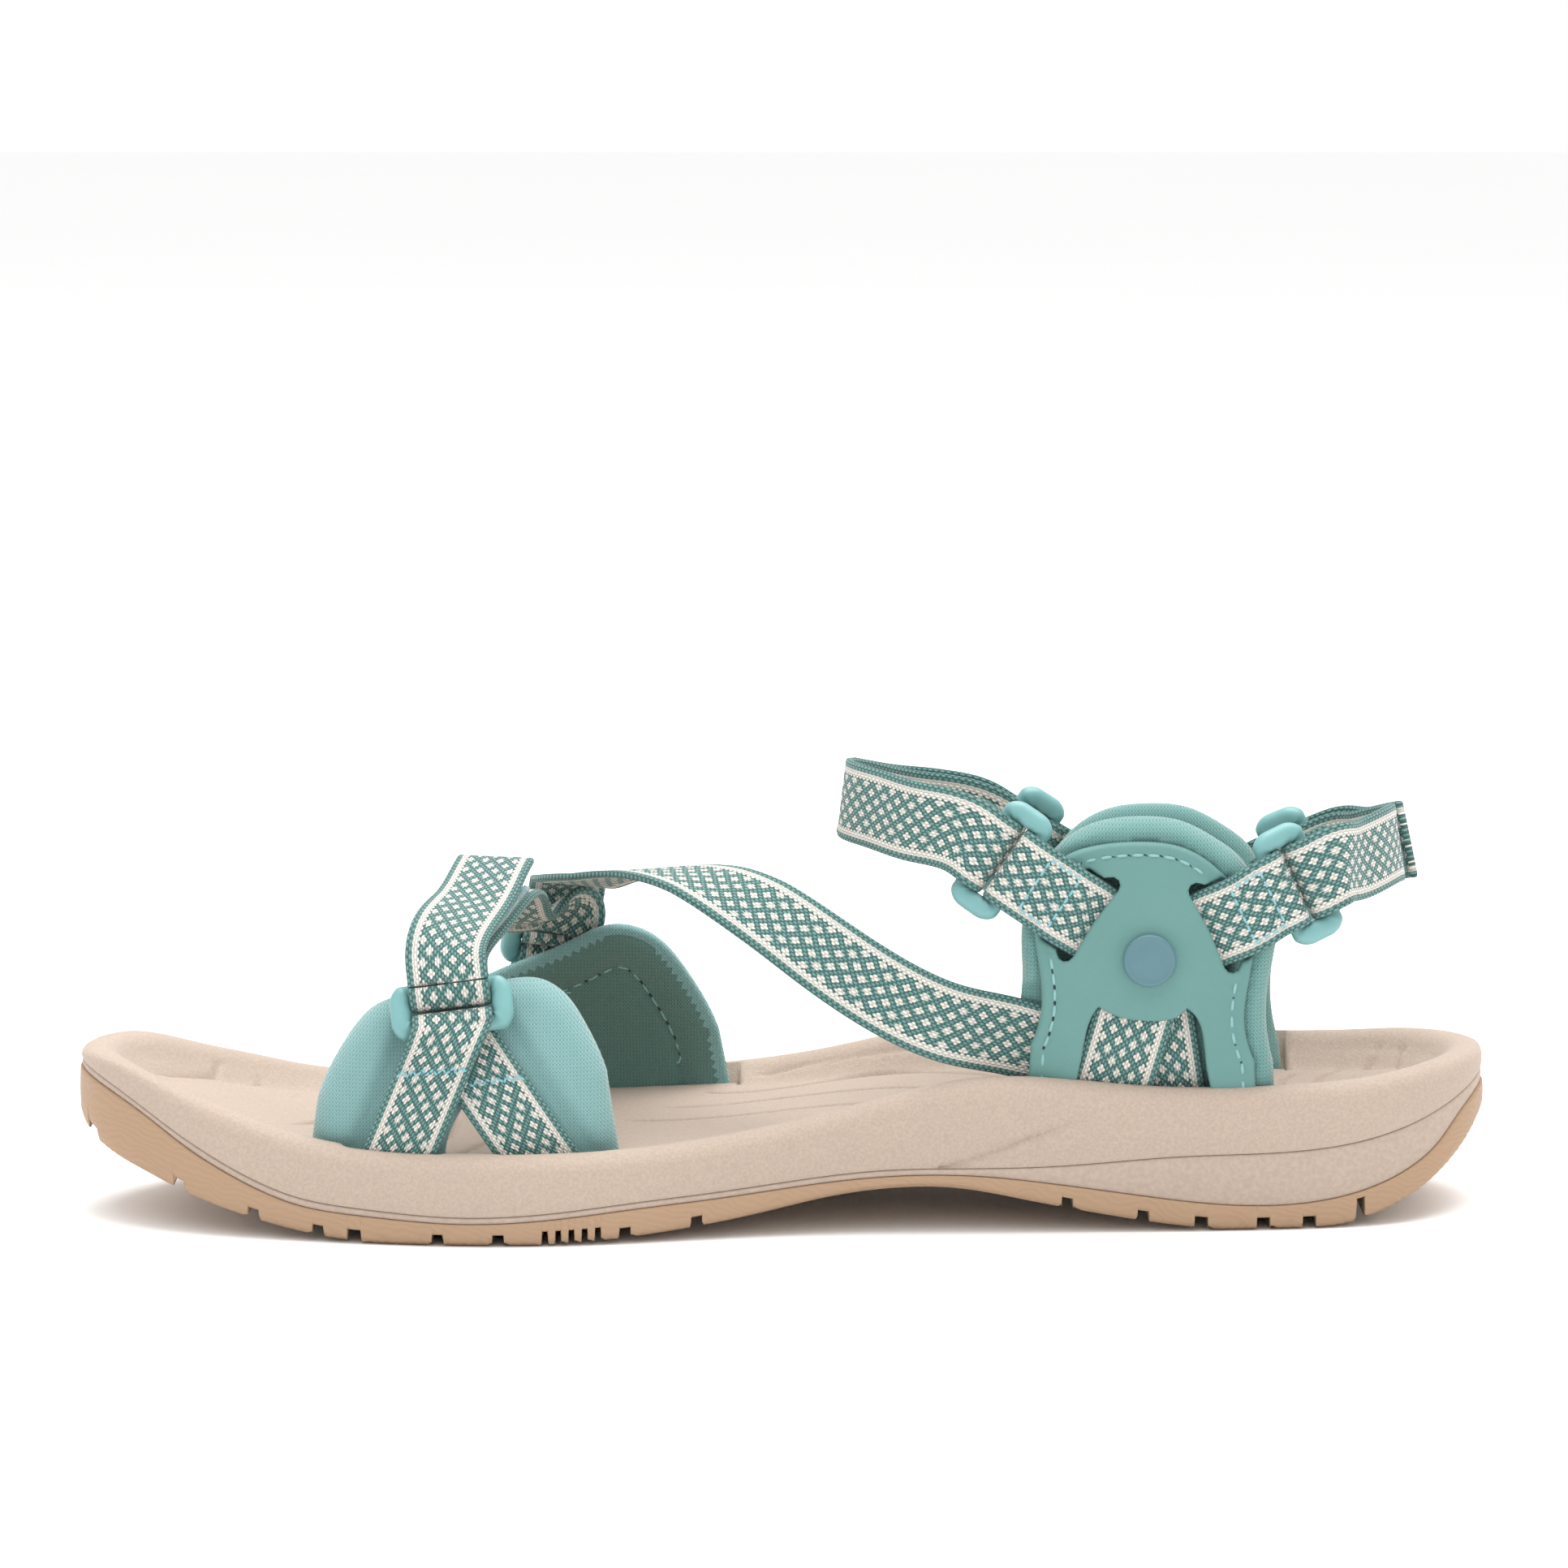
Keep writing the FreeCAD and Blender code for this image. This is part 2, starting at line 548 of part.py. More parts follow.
OVERLAY_SIDE = [(-21.5, -16), (-19.6, -9), (-20, -2), (-21, 5), (-20.5, 12), (-16, 18.4), (-9, 21),
                (-2, 21.6), (6, 20.6), (13, 16.2), (17.8, 9.5), (19.2, 3), (18.2, -5), (17.6, -11),
                (19.6, -19)]
LINING_SIDE = [(-23.8, -12), (-23, -3), (-23.2, 4), (-21.9, 11), (-16.9, 19.9), (-10.5, 24.2),
               (-2, 25.6), (6, 24.8), (12.4, 21.6), (17.4, 17.6), (21.2, 9.5), (23.4, 3.5),
               (22.6, -3), (21.9, -9), (23.4, -20)]


def quarter(side, barrel, rivet):
    """Padded lining, slotted overlay, rivet, two legs, two tabs and two rings of one heel quarter."""
    name = barrel.name
    rx, rz = rivet
    base = QUARTER_BASE
    inside = size("quarter_pad_inside")
    pocket = size("quarter_pocket_deep")

    def side_outline(points, extra):
        shape = around(rivet, points)
        foot_front = (shape[0][0] - extra, base)
        foot_rear = (shape[-1][0] + extra, base)
        return [line(foot_front, shape[0]), spline(shape), line(shape[-1], foot_rear),
                line(foot_rear, foot_front)]

    window = around(rivet, [(-30, -40), (-30, -6.2), (-17.8, -6.6), (-18.9, 0), (-16.5, 9.5), (-9.5, 16.4),
                            (0, 18.9), (9.5, 16.4), (16.5, 9.5), (18.9, 0), (17.5, -8), (14.5, -22),
                            (14.5, -40)])
    rivet_hole = doc.addObject("Part::Cylinder", name + "RivetHole")
    rivet_hole.setExpression("Radius", "Sizes.rivet_post_radius + 0.1")
    rivet_hole.Height = 20
    normal = barrel.normal(rx, rz)
    turn = FreeCAD.Rotation(Vector(0, 0, 1), normal)
    rivet_hole.Placement = FreeCAD.Placement(barrel.point(rx, rz) - normal * 8, turn)

    lining = common(name + "LiningBlank", extrude(name + "LiningSide", side_outline(LINING_SIDE, 0.8), "Y"),
                    barrel.shell(-inside, pocket, base - 2, 84, "Lining"))
    recess = common(name + "Recess", extrude(name + "Window", polygon(window), "Y"),
                    barrel.shell(0, pocket + 1, base - 3, 85, "RecessShell"))
    keep(cut(name + "LiningPiece", lining, fuse(name + "LiningCuts", [recess, rivet_hole])),
         "quarter_pad_%s" % side)

    disc = 12.4
    slot = 6.8

    def sector(start, end):
        corners = []
        for radius, angles in ((disc, (start, (start + end) / 2, end)),
                               (disc + slot, (end, (start + end) / 2, start))):
            corners += [(radius * math.cos(math.radians(a)), radius * math.sin(math.radians(a)))
                        for a in angles]
        shape = around(rivet, corners)
        inner = Part.Arc(*[Vector(x, z, 0) for x, z in shape[:3]])
        outer = Part.Arc(*[Vector(x, z, 0) for x, z in shape[3:]])
        return [inner, line(shape[2], shape[3]), outer, line(shape[5], shape[0])]

    opening = around(rivet, [(-9.8, -9.4), (-5, -10.6), (0, -11), (5, -10.6), (7.2, -9.8), (11.5, -23),
                             (11.5, -45), (-14, -45), (-14, -23)])
    overlay = common(name + "OverlayBlank",
                     extrude(name + "OverlaySide", side_outline(OVERLAY_SIDE, 0.8), "Y"),
                     barrel.shell(OVERLAY_IN, OVERLAY_OUT, base - 2, 84, "Overlay"))
    slots = [extrude(name + "AnkleSlot", sector(107.5, 184.5), "Y"),
             extrude(name + "HeelSlot", sector(-12.5, 64.5), "Y"),
             extrude(name + "FootOpening", polygon(opening), "Y"), rivet_hole]
    keep(cut(name + "OverlayPiece", overlay, fuse(name + "OverlayCuts", slots)),
         "quarter_overlay_%s" % side)

    def leg(label, foot_x, top_x, top_z, offset):
        bottom = (foot_x, base - 4)
        places = []
        for share in (0, 0.25, 0.5, 0.75, 1):
            places.append((bottom[0] + (top_x - bottom[0]) * share, bottom[1] + (top_z - bottom[1]) * share))
        stations = [(barrel.point(x, z, offset), barrel.normal(x, z, offset)) for x, z in places]
        planted(label, stations, base, [0.22] * len(stations), None, rivet_hole)

    leg("quarter_webbing_%s_rear" % side, rx + 5.2, rx - 1.8, rz + 7, THICK / 2 + 0.2)
    leg("quarter_webbing_%s_front" % side, rx - 10.0, rx + 2.2, rz + 7, THICK * 1.5 + 0.55)

    post = size("rivet_post_radius")
    cap = size("rivet_cap_radius")
    crown = size("rivet_cap_height")
    body = doc.addObject("PartDesign::Body", name + "Rivet")
    planes = {feature.Role: feature for feature in body.Origin.OriginFeatures}
    profile = body.newObject("Sketcher::SketchObject", name + "RivetProfile")
    profile.AttachmentSupport = [(planes["XY_Plane"], "")]
    profile.MapMode = "FlatFace"
    bottom = -(inside + size("washer_thick") + 0.1)
    seat = OVERLAY_OUT + 0.05
    corners = [(0, bottom), (post, bottom), (post, seat), (cap, seat), (cap, seat + 0.5)]
    for start, end in zip(corners, corners[1:]):
        profile.addGeometry(line(start, end), False)
    flat = 1.5
    profile.addGeometry(Part.Arc(Vector(cap, seat + 0.5, 0), Vector(cap * 0.76, seat + crown * 0.88, 0),
                                 Vector(flat, seat + crown, 0)), False)
    profile.addGeometry(line((flat, seat + crown), (0, seat + crown)), False)
    profile.addGeometry(line((0, seat + crown), (0, bottom)), False)
    spin = body.newObject("PartDesign::Revolution", name + "RivetSpin")
    spin.Profile = profile
    spin.ReferenceAxis = (profile, ["V_Axis"])
    spin.Angle = 360
    upright = FreeCAD.Rotation(Vector(0, 1, 0), normal)
    body.Placement = FreeCAD.Placement(barrel.point(rx, rz), upright)
    keep(body, "quarter_rivet_%s" % side)

    disc_piece = doc.addObject("Part::Cylinder", name + "WasherBlank")
    disc_piece.setExpression("Radius", "Sizes.washer_radius")
    disc_piece.setExpression("Height", "Sizes.washer_thick")
    foot = barrel.point(rx, rz) - normal * (inside + 0.1 + size("washer_thick"))
    disc_piece.Placement = FreeCAD.Placement(foot, turn)
    keep(cut(name + "Washer", disc_piece, rivet_hole), "quarter_rivet_washer_%s" % side)


def tab(label, barrel, rivet, ring, heading):
    """Tab from under the overlay disc, out through its slot, over the panel and round the ring's bar."""
    along = Vector(math.cos(math.radians(heading)), math.sin(math.radians(heading)), 0)
    places = []
    for radius, offset in ((10.4, 2.5), (12.2, 2.5), (15.4, 4.1), (18.4, OVERLAY_OUT + 0.95),
                           (20.5, OVERLAY_OUT + 1.0)):
        places.append((rivet[0] + along.x * radius, rivet[1] + along.y * radius, offset))
    stations = [(barrel.point(*place), barrel.normal(*place)) for place in places]
    stations.append((ring.point(-3.2, FIXED_LOOP - 0.05, ring.b), ring.n))
    stations.append((ring.point(-0.8, FIXED_LOOP, ring.b), ring.n))
    stations += ring.arc(ring.b, FIXED_LOOP, 90, -90, 1)
    stations.append((ring.point(-2.2, -FIXED_LOOP, ring.b), ring.n * -1))
    ribbon(label, stations)


MEDIAL_RIVET = (66.8, 50.1)
LATERAL_RIVET = (71.3, 45.2)
quarter("medial", QUARTER_MEDIAL, MEDIAL_RIVET)
quarter("lateral", QUARTER_LATERAL, LATERAL_RIVET)

ankle_ring_medial = Ring(QUARTER_MEDIAL, 39.9, 67.9, 3.7, 146)
heel_ring_medial = Ring(QUARTER_MEDIAL, 94.2, 63.6, 3.7, 25)
ankle_ring_lateral = Ring(QUARTER_LATERAL, 44.4, 62.9, 3.7, 146)
heel_ring_lateral = Ring(QUARTER_LATERAL, 98.6, 58.7, 3.7, 25)
tab("ankle_tab_medial", QUARTER_MEDIAL, MEDIAL_RIVET, ankle_ring_medial, 146)
tab("heel_tab_medial", QUARTER_MEDIAL, MEDIAL_RIVET, heel_ring_medial, 26)
tab("ankle_tab_lateral", QUARTER_LATERAL, LATERAL_RIVET, ankle_ring_lateral, 146)
tab("heel_tab_lateral", QUARTER_LATERAL, LATERAL_RIVET, heel_ring_lateral, 26)
ankle_ring_medial.build("ankle_ring_medial")
heel_ring_medial.build("heel_ring_medial")
ankle_ring_lateral.build("ankle_ring_lateral")
heel_ring_lateral.build("heel_ring_lateral")


# ---------------------------------------------------------------- ankle and heel straps
def cuff(name, start, end, points, normals, covered):
    """Strap sewn round the medial ring's bar, carried round the leg and turned back at the lateral ring."""
    sewn = [(start.point(along, out, start.a), start.n * -1)
            for along, out in ((6.5, -2.2), (4.5, -2.6), (2.5, -2.85))]
    loop = sewn + start.arc(start.a, FREE_LOOP, 265, 95, 1)
    first = [start.point(0, FREE_LOOP, start.a), start.point(4, FREE_LOOP - 0.3, start.a)]
    last = [end.point(6, -FREE_LOOP + 0.1, end.a), end.point(0, -FREE_LOOP, end.a)]
    middle = stations_through(first + points + last, [start.n] * 2 + normals + [end.n] * 2, 3.0)
    wrap = wrap_to_outside(end)
    ribbon(name + "_strap", loop + middle + wrap)
    tail_with_patches(name, end, list(reversed(middle)), covered)


cuff("ankle", ankle_ring_medial, ankle_ring_lateral,
     [Vector(24, -21.5, 74.2), Vector(17, -12.5, 75.2), Vector(12.2, -4, 75.6), Vector(11.6, 3, 75.4),
      Vector(15.6, 11, 73.6), Vector(23.5, 20, 70.8)],
     [Vector(-0.55, -0.8, 0.15), Vector(-0.75, -0.6, 0.15), Vector(-0.95, -0.25, 0.12),
      Vector(-0.97, 0.2, 0.1), Vector(-0.8, 0.55, 0.12), Vector(-0.6, 0.75, 0.15)], 13)
cuff("heel", heel_ring_medial, heel_ring_lateral,
     [Vector(105.6, -20.5, 66.8), Vector(110.6, -12, 67.4), Vector(114, -3.5, 67.6), Vector(114.8, 4, 66.6),
      Vector(112.6, 12.5, 64.8), Vector(108.4, 20, 62.8)],
     [Vector(0.6, -0.8, 0.1), Vector(0.8, -0.55, 0.1), Vector(0.97, -0.2, 0.12), Vector(0.97, 0.2, 0.15),
      Vector(0.8, 0.55, 0.12), Vector(0.65, 0.75, 0.1)], 9)

# ---------------------------------------------------------------- checks and export
doc.recompute()
for obj in doc.Objects:
    if "Invalid" in obj.State or "Error" in obj.State:
        raise RuntimeError("%s failed: %s" % (obj.Name, obj.State))
os.makedirs("parts", exist_ok=True)
for label, obj in parts.items():
    if obj.Shape.isNull() or not obj.Shape.isValid():
        raise RuntimeError("%s has no valid shape" % label)
    obj.Shape.exportStep("parts/%s.step" % label)
    bounds = obj.Shape.BoundBox
    print("%-32s solids %d volume %9.1f  x %7.1f %7.1f  y %7.1f %7.1f  z %6.1f %6.1f" % (
        label, len(obj.Shape.Solids), obj.Shape.Volume, bounds.XMin, bounds.XMax,
        bounds.YMin, bounds.YMax, bounds.ZMin, bounds.ZMax))
for name, ring in (("toe_medial", toe_ring_medial), ("toe_lateral", toe_ring_lateral),
                   ("ankle_medial", ankle_ring_medial), ("heel_medial", heel_ring_medial),
                   ("ankle_lateral", ankle_ring_lateral), ("heel_lateral", heel_ring_lateral)):
    hinge = ring.point(0, FREE_LOOP + THICK / 2, ring.a)
    print("axis", name, "w", [round(c, 6) for c in ring.w], "bar b", [round(c, 4) for c in ring.b],
          "tail line", [round(c, 4) for c in hinge])
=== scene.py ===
import math
import bmesh
import bpy
import numpy as np
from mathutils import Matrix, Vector
from mathutils.geometry import delaunay_2d_cdt


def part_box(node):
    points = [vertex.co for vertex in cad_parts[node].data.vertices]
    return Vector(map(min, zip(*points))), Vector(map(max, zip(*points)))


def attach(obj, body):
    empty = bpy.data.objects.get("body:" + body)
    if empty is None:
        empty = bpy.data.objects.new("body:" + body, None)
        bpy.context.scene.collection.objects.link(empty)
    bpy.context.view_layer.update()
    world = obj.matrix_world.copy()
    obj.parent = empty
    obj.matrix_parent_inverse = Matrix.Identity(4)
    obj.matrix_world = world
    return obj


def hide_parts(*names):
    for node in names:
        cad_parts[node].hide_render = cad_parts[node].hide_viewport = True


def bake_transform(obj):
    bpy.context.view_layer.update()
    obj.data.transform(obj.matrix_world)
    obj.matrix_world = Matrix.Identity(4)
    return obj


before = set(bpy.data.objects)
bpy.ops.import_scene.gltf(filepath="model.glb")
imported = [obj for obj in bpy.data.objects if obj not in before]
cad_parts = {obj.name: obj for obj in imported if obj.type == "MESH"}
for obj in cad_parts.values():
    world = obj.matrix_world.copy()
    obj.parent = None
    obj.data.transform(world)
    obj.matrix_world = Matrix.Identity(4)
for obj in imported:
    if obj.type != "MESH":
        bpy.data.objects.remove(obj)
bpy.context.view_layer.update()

# Strappy sport sandal, right foot, in the CAD frame: toe at -X, medial side at -Y, floor at z = 0.
# Shapes are worked out in millimetres, and MM turns them into metres when a mesh is made.
MM = 0.001
rng = np.random.default_rng(7)
WIDTH = 14.8
THICK = 1.4
FIXED_LOOP = 2.4
FREE_LOOP = 3.0
OVERLAY_IN = 3.5
OVERLAY_OUT = 4.7


# ---------------------------------------------------------------- curves
def spline(points, knots=None, closed=False):
    """Smooth curve through points: returns a function of the knot value, and the last knot."""
    points = np.asarray(points, float)
    if closed:
        points = np.vstack([points, points[:1]])
    if knots is None:
        knots = np.concatenate([[0], np.cumsum(np.linalg.norm(np.diff(points, axis=0), axis=1))])
    knots = np.asarray(knots, float)
    count = len(points)
    step = np.diff(knots)
    slope = np.diff(points, axis=0) / step[:, None]
    matrix = np.eye(count)
    right = np.zeros_like(points)
    for i in range(1, count - 1):
        matrix[i, i - 1:i + 2] = step[i], 2 * (step[i - 1] + step[i]), step[i - 1]
        right[i] = 3 * (step[i] * slope[i - 1] + step[i - 1] * slope[i])
    if closed:
        matrix[0] = 0
        matrix[0, 0] = 2 * (step[-1] + step[0])
        matrix[0, 1] = step[-1]
        matrix[0, count - 2] = step[0]
        right[0] = 3 * (step[0] * slope[-1] + step[-1] * slope[0])
        matrix[-1, 0] = -1
    elif count > 2:
        right[0] = slope[0] + (slope[0] - slope[1]) * step[0] / (step[0] + step[1])
        right[-1] = slope[-1] + (slope[-1] - slope[-2]) * step[-1] / (step[-1] + step[-2])
    else:
        right[:] = slope[0]
    tangent = np.linalg.solve(matrix, right)

    def at(t):
        t = np.atleast_1d(np.asarray(t, float))
        i = np.clip(np.searchsorted(knots, t, side="right") - 1, 0, count - 2)
        w = step[i][:, None]
        s = ((t - knots[i]) / step[i])[:, None]
        return ((2 * s ** 3 - 3 * s ** 2 + 1) * points[i] + (s ** 3 - 2 * s ** 2 + s) * w * tangent[i]
                + (3 * s ** 2 - 2 * s ** 3) * points[i + 1] + (s ** 3 - s ** 2) * w * tangent[i + 1])
    return at, knots[-1]


def sampled(points, spacing, closed=False):
    """Points about spacing apart along the smooth curve."""
    at, end = spline(points, closed=closed)
    dense = at(np.linspace(0, end, 1500))
    run = np.concatenate([[0], np.cumsum(np.linalg.norm(np.diff(dense, axis=0), axis=1))])
    count = max(2, int(round(run[-1] / spacing)))
    places = np.linspace(0, run[-1], count + 1)
    if closed:
        places = places[:-1]
    return np.column_stack([np.interp(places, run, dense[:, k]) for k in range(dense.shape[1])])


def straight(points, spacing, closed=False):
    """Points about spacing apart along straight runs, corners included."""
    points = [np.asarray(p, float) for p in points]
    if closed:
        points.append(points[0])
    out = []
    for a, b in zip(points, points[1:]):
        count = max(1, int(round(np.linalg.norm(b - a) / spacing)))
        out += [a + (b - a) * i / count for i in range(count)]
    if not closed:
        out.append(points[-1])
    return np.array(out)


def height_line(points):
    """Side-view curve as a function z(x)."""
    at, end = spline(points)
    dense = at(np.linspace(0, end, 1500))
    return lambda x: np.interp(x, dense[:, 0], dense[:, 1])


def unit(v):
    v = np.asarray(v, float)
    return v / np.linalg.norm(v, axis=-1, keepdims=True)


def smooth(x, low, high):
    t = np.clip((x - low) / (high - low), 0, 1)
    return t * t * (3 - 2 * t)


def distance(points, loop, closed=True):
    """Distance of 2-D points from a polyline."""
    points = np.asarray(points, float)
    a = np.asarray(loop, float)
    b = np.roll(a, -1, axis=0)
    if not closed:
        a, b = a[:-1], b[:-1]
    run = b - a
    length = np.maximum((run ** 2).sum(1), 1e-12)
    best = np.full(len(points), 1e9)
    for start in range(0, len(points), 2000):
        part = points[start:start + 2000]
        offset = part[:, None] - a[None]
        t = np.clip((offset * run[None]).sum(2) / length, 0, 1)
        gap = offset - t[..., None] * run[None]
        best[start:start + 2000] = np.sqrt((gap ** 2).sum(2)).min(1)
    return best


def inside(points, loop):
    """Whether 2-D points are inside a closed polyline."""
    points = np.asarray(points, float)
    x, y = points[:, 0], points[:, 1]
    hit = np.zeros(len(points), bool)
    for (xa, ya), (xb, yb) in zip(loop, np.roll(loop, -1, axis=0)):
        cross = (ya > y) != (yb > y)
        if ya != yb:
            hit ^= cross & (x < (xb - xa) * (y - ya) / (yb - ya) + xa)
    return hit


def inward(loop):
    """Unit normals of a closed 2-D polyline, pointing into it."""
    along = unit(np.roll(loop, -1, axis=0) - np.roll(loop, 1, axis=0))
    normals = np.column_stack([-along[:, 1], along[:, 0]])
    nxt = np.roll(loop, -1, axis=0)
    area = (loop[:, 0] * nxt[:, 1] - nxt[:, 0] * loop[:, 1]).sum()
    return normals if area > 0 else -normals


def triangulate(loops, seeds=(), edges=()):
    """Triangles of the region inside the first loop and outside the rest, through seeds and extra polylines."""
    verts, lines = [], []

    def add(chain, closed):
        first = len(verts)
        verts.extend(Vector((float(x), float(y))) for x, y in chain)
        count = len(chain)
        lines.extend((first + i, first + (i + 1) % count) for i in range(count if closed else count - 1))
    for loop in loops:
        add(loop, True)
    for chain, closed in edges:
        add(chain, closed)
    verts.extend(Vector((float(x), float(y))) for x, y in seeds)
    found, _, faces, _, _, _ = delaunay_2d_cdt(verts, lines, [], 0, 1e-4)
    points = np.array([(p.x, p.y) for p in found])
    faces = np.array([f for f in faces if len(f) == 3])
    middle = points[faces].mean(1)
    keep = inside(middle, loops[0])
    for hole in loops[1:]:
        keep &= ~inside(middle, hole)
    faces = faces[keep]
    used = np.unique(faces)
    renumber = np.full(len(points), -1)
    renumber[used] = np.arange(len(used))
    return points[used], renumber[faces]


def grid(loop, spacing):
    """Hexagonal grid of points over a loop's box."""
    low, high = loop.min(0), loop.max(0)
    rows = int((high[1] - low[1]) / (spacing * 0.866)) + 2
    cols = int((high[0] - low[0]) / spacing) + 2
    return np.array([(low[0] + (c + 0.5 * (r % 2)) * spacing, low[1] + r * spacing * 0.866)
                     for r in range(rows) for c in range(cols)])


# ---------------------------------------------------------------- side surfaces and rings, as in the CAD
class Barrel:
    """Side wall of the upper: an arc in the vertical plane turned about a vertical axis inside the shoe."""

    def __init__(self, side, middle_x, base_y, base_z, plan_radius, arc_radius, arc_z):
        self.side = side
        self.x = middle_x
        self.arc = arc_radius
        self.arc_z = arc_z
        self.centre = plan_radius - math.sqrt(arc_radius ** 2 - (base_z - arc_z) ** 2)
        self.axis_y = base_y - side * plan_radius

    def point(self, x, z, offset=0.0):
        x, z, offset = np.broadcast_arrays(np.asarray(x, float), z, offset)
        reach = self.centre + np.sqrt((self.arc + offset) ** 2 - (z - self.arc_z) ** 2)
        y = self.axis_y + self.side * np.sqrt(reach ** 2 - (x - self.x) ** 2)
        return np.stack([x, y, z], axis=-1)

    def normal(self, x, z, offset=0.0):
        here = self.point(x, z, offset)
        out = here - np.array([self.x, self.axis_y, 0.0])
        out[..., 2] = 0
        out = unit(out)
        rise = (here[..., 2] - self.arc_z) / (self.arc + offset)
        flat = np.sqrt(1 - rise ** 2)
        return np.stack([out[..., 0] * flat, out[..., 1] * flat, rise], axis=-1)


TOE = {"medial": Barrel(-1, -57, -39.8, 16, 100, 60, 16), "lateral": Barrel(1, -40, 40.5, 16, 100, 60, 16)}
QUARTER = {"medial": Barrel(-1, 66, -26.6, 26, 120, 110, 46), "lateral": Barrel(1, 70, 27.2, 26, 120, 110, 46)}
RIVET = {"medial": (66.8, 50.1), "lateral": (71.3, 45.2)}


class Ring:
    """Two-bar ring: t runs from the tab's bar b to the strap's bar a, n points outwards, w along the bars."""

    def __init__(self, node, barrel, x, z, heading):
        low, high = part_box(node)
        self.node = node
        self.centre = np.array((low + high) / 2) / MM
        self.n = barrel.normal(x, z, 3.7)
        flat = np.array([math.cos(math.radians(heading)), 0, math.sin(math.radians(heading))])
        self.t = unit(flat - self.n * flat.dot(self.n))
        self.w = unit(np.cross(self.t, self.n))
        self.a = self.centre + self.t * 3.7
        self.b = self.centre - self.t * 3.7

    def arc(self, bar, radius, start, end, sign, count=22):
        stations = []
        for i in range(count + 1):
            angle = math.radians(start + (end - start) * i / count)
            out = self.t * math.cos(angle) + self.n * math.sin(angle)
            stations.append((bar + out * radius, out * sign))
        return stations

    def point(self, along, out, bar=None):
        origin = self.centre if bar is None else bar
        return origin + self.t * along + self.n * out


RINGS = {
    "toe_medial": Ring("toe_ring_medial", TOE["medial"], -60.6, 42.3, 97),
    "toe_lateral": Ring("toe_ring_lateral", TOE["lateral"], -43.5, 41.5, 82),
    "ankle_medial": Ring("ankle_ring_medial", QUARTER["medial"], 39.9, 67.9, 146),
    "heel_medial": Ring("heel_ring_medial", QUARTER["medial"], 94.2, 63.6, 25),
    "ankle_lateral": Ring("ankle_ring_lateral", QUARTER["lateral"], 44.4, 62.9, 146),
    "heel_lateral": Ring("heel_ring_lateral", QUARTER["lateral"], 98.6, 58.7, 25),
}


# ---------------------------------------------------------------- procedural materials
class Field:
    """A shader value that takes arithmetic, so that patterns are written as formulas."""

    def __init__(self, tree, socket):
        self.tree = tree
        self.socket = socket

    def apply(self, operation, *others):
        node = self.tree.nodes.new("ShaderNodeMath")
        node.operation = operation
        for i, value in enumerate((self,) + others):
            if isinstance(value, Field):
                self.tree.links.new(value.socket, node.inputs[i])
            else:
                node.inputs[i].default_value = value
        return Field(self.tree, node.outputs[0])

    def __add__(self, other):
        return self.apply("ADD", other)

    def __sub__(self, other):
        return self.apply("SUBTRACT", other)

    def __mul__(self, other):
        return self.apply("MULTIPLY", other)

    def __truediv__(self, other):
        return self.apply("DIVIDE", other)

    def sin(self):
        return self.apply("SINE")

    def cos(self):
        return self.apply("COSINE")

    def abs(self):
        return self.apply("ABSOLUTE")

    def floor(self):
        return self.apply("FLOOR")

    def power(self, exponent):
        return self.apply("POWER", exponent)

    def least(self, other):
        return self.apply("MINIMUM", other)

    def most(self, other):
        return self.apply("MAXIMUM", other)

    def ramp(self, low, high, start=0.0, end=1.0):
        node = self.tree.nodes.new("ShaderNodeMapRange")
        node.interpolation_type = "SMOOTHSTEP"
        self.tree.links.new(self.socket, node.inputs["Value"])
        for name, value in zip(("From Min", "From Max", "To Min", "To Max"), (low, high, start, end)):
            node.inputs[name].default_value = value
        return Field(self.tree, node.outputs["Result"])


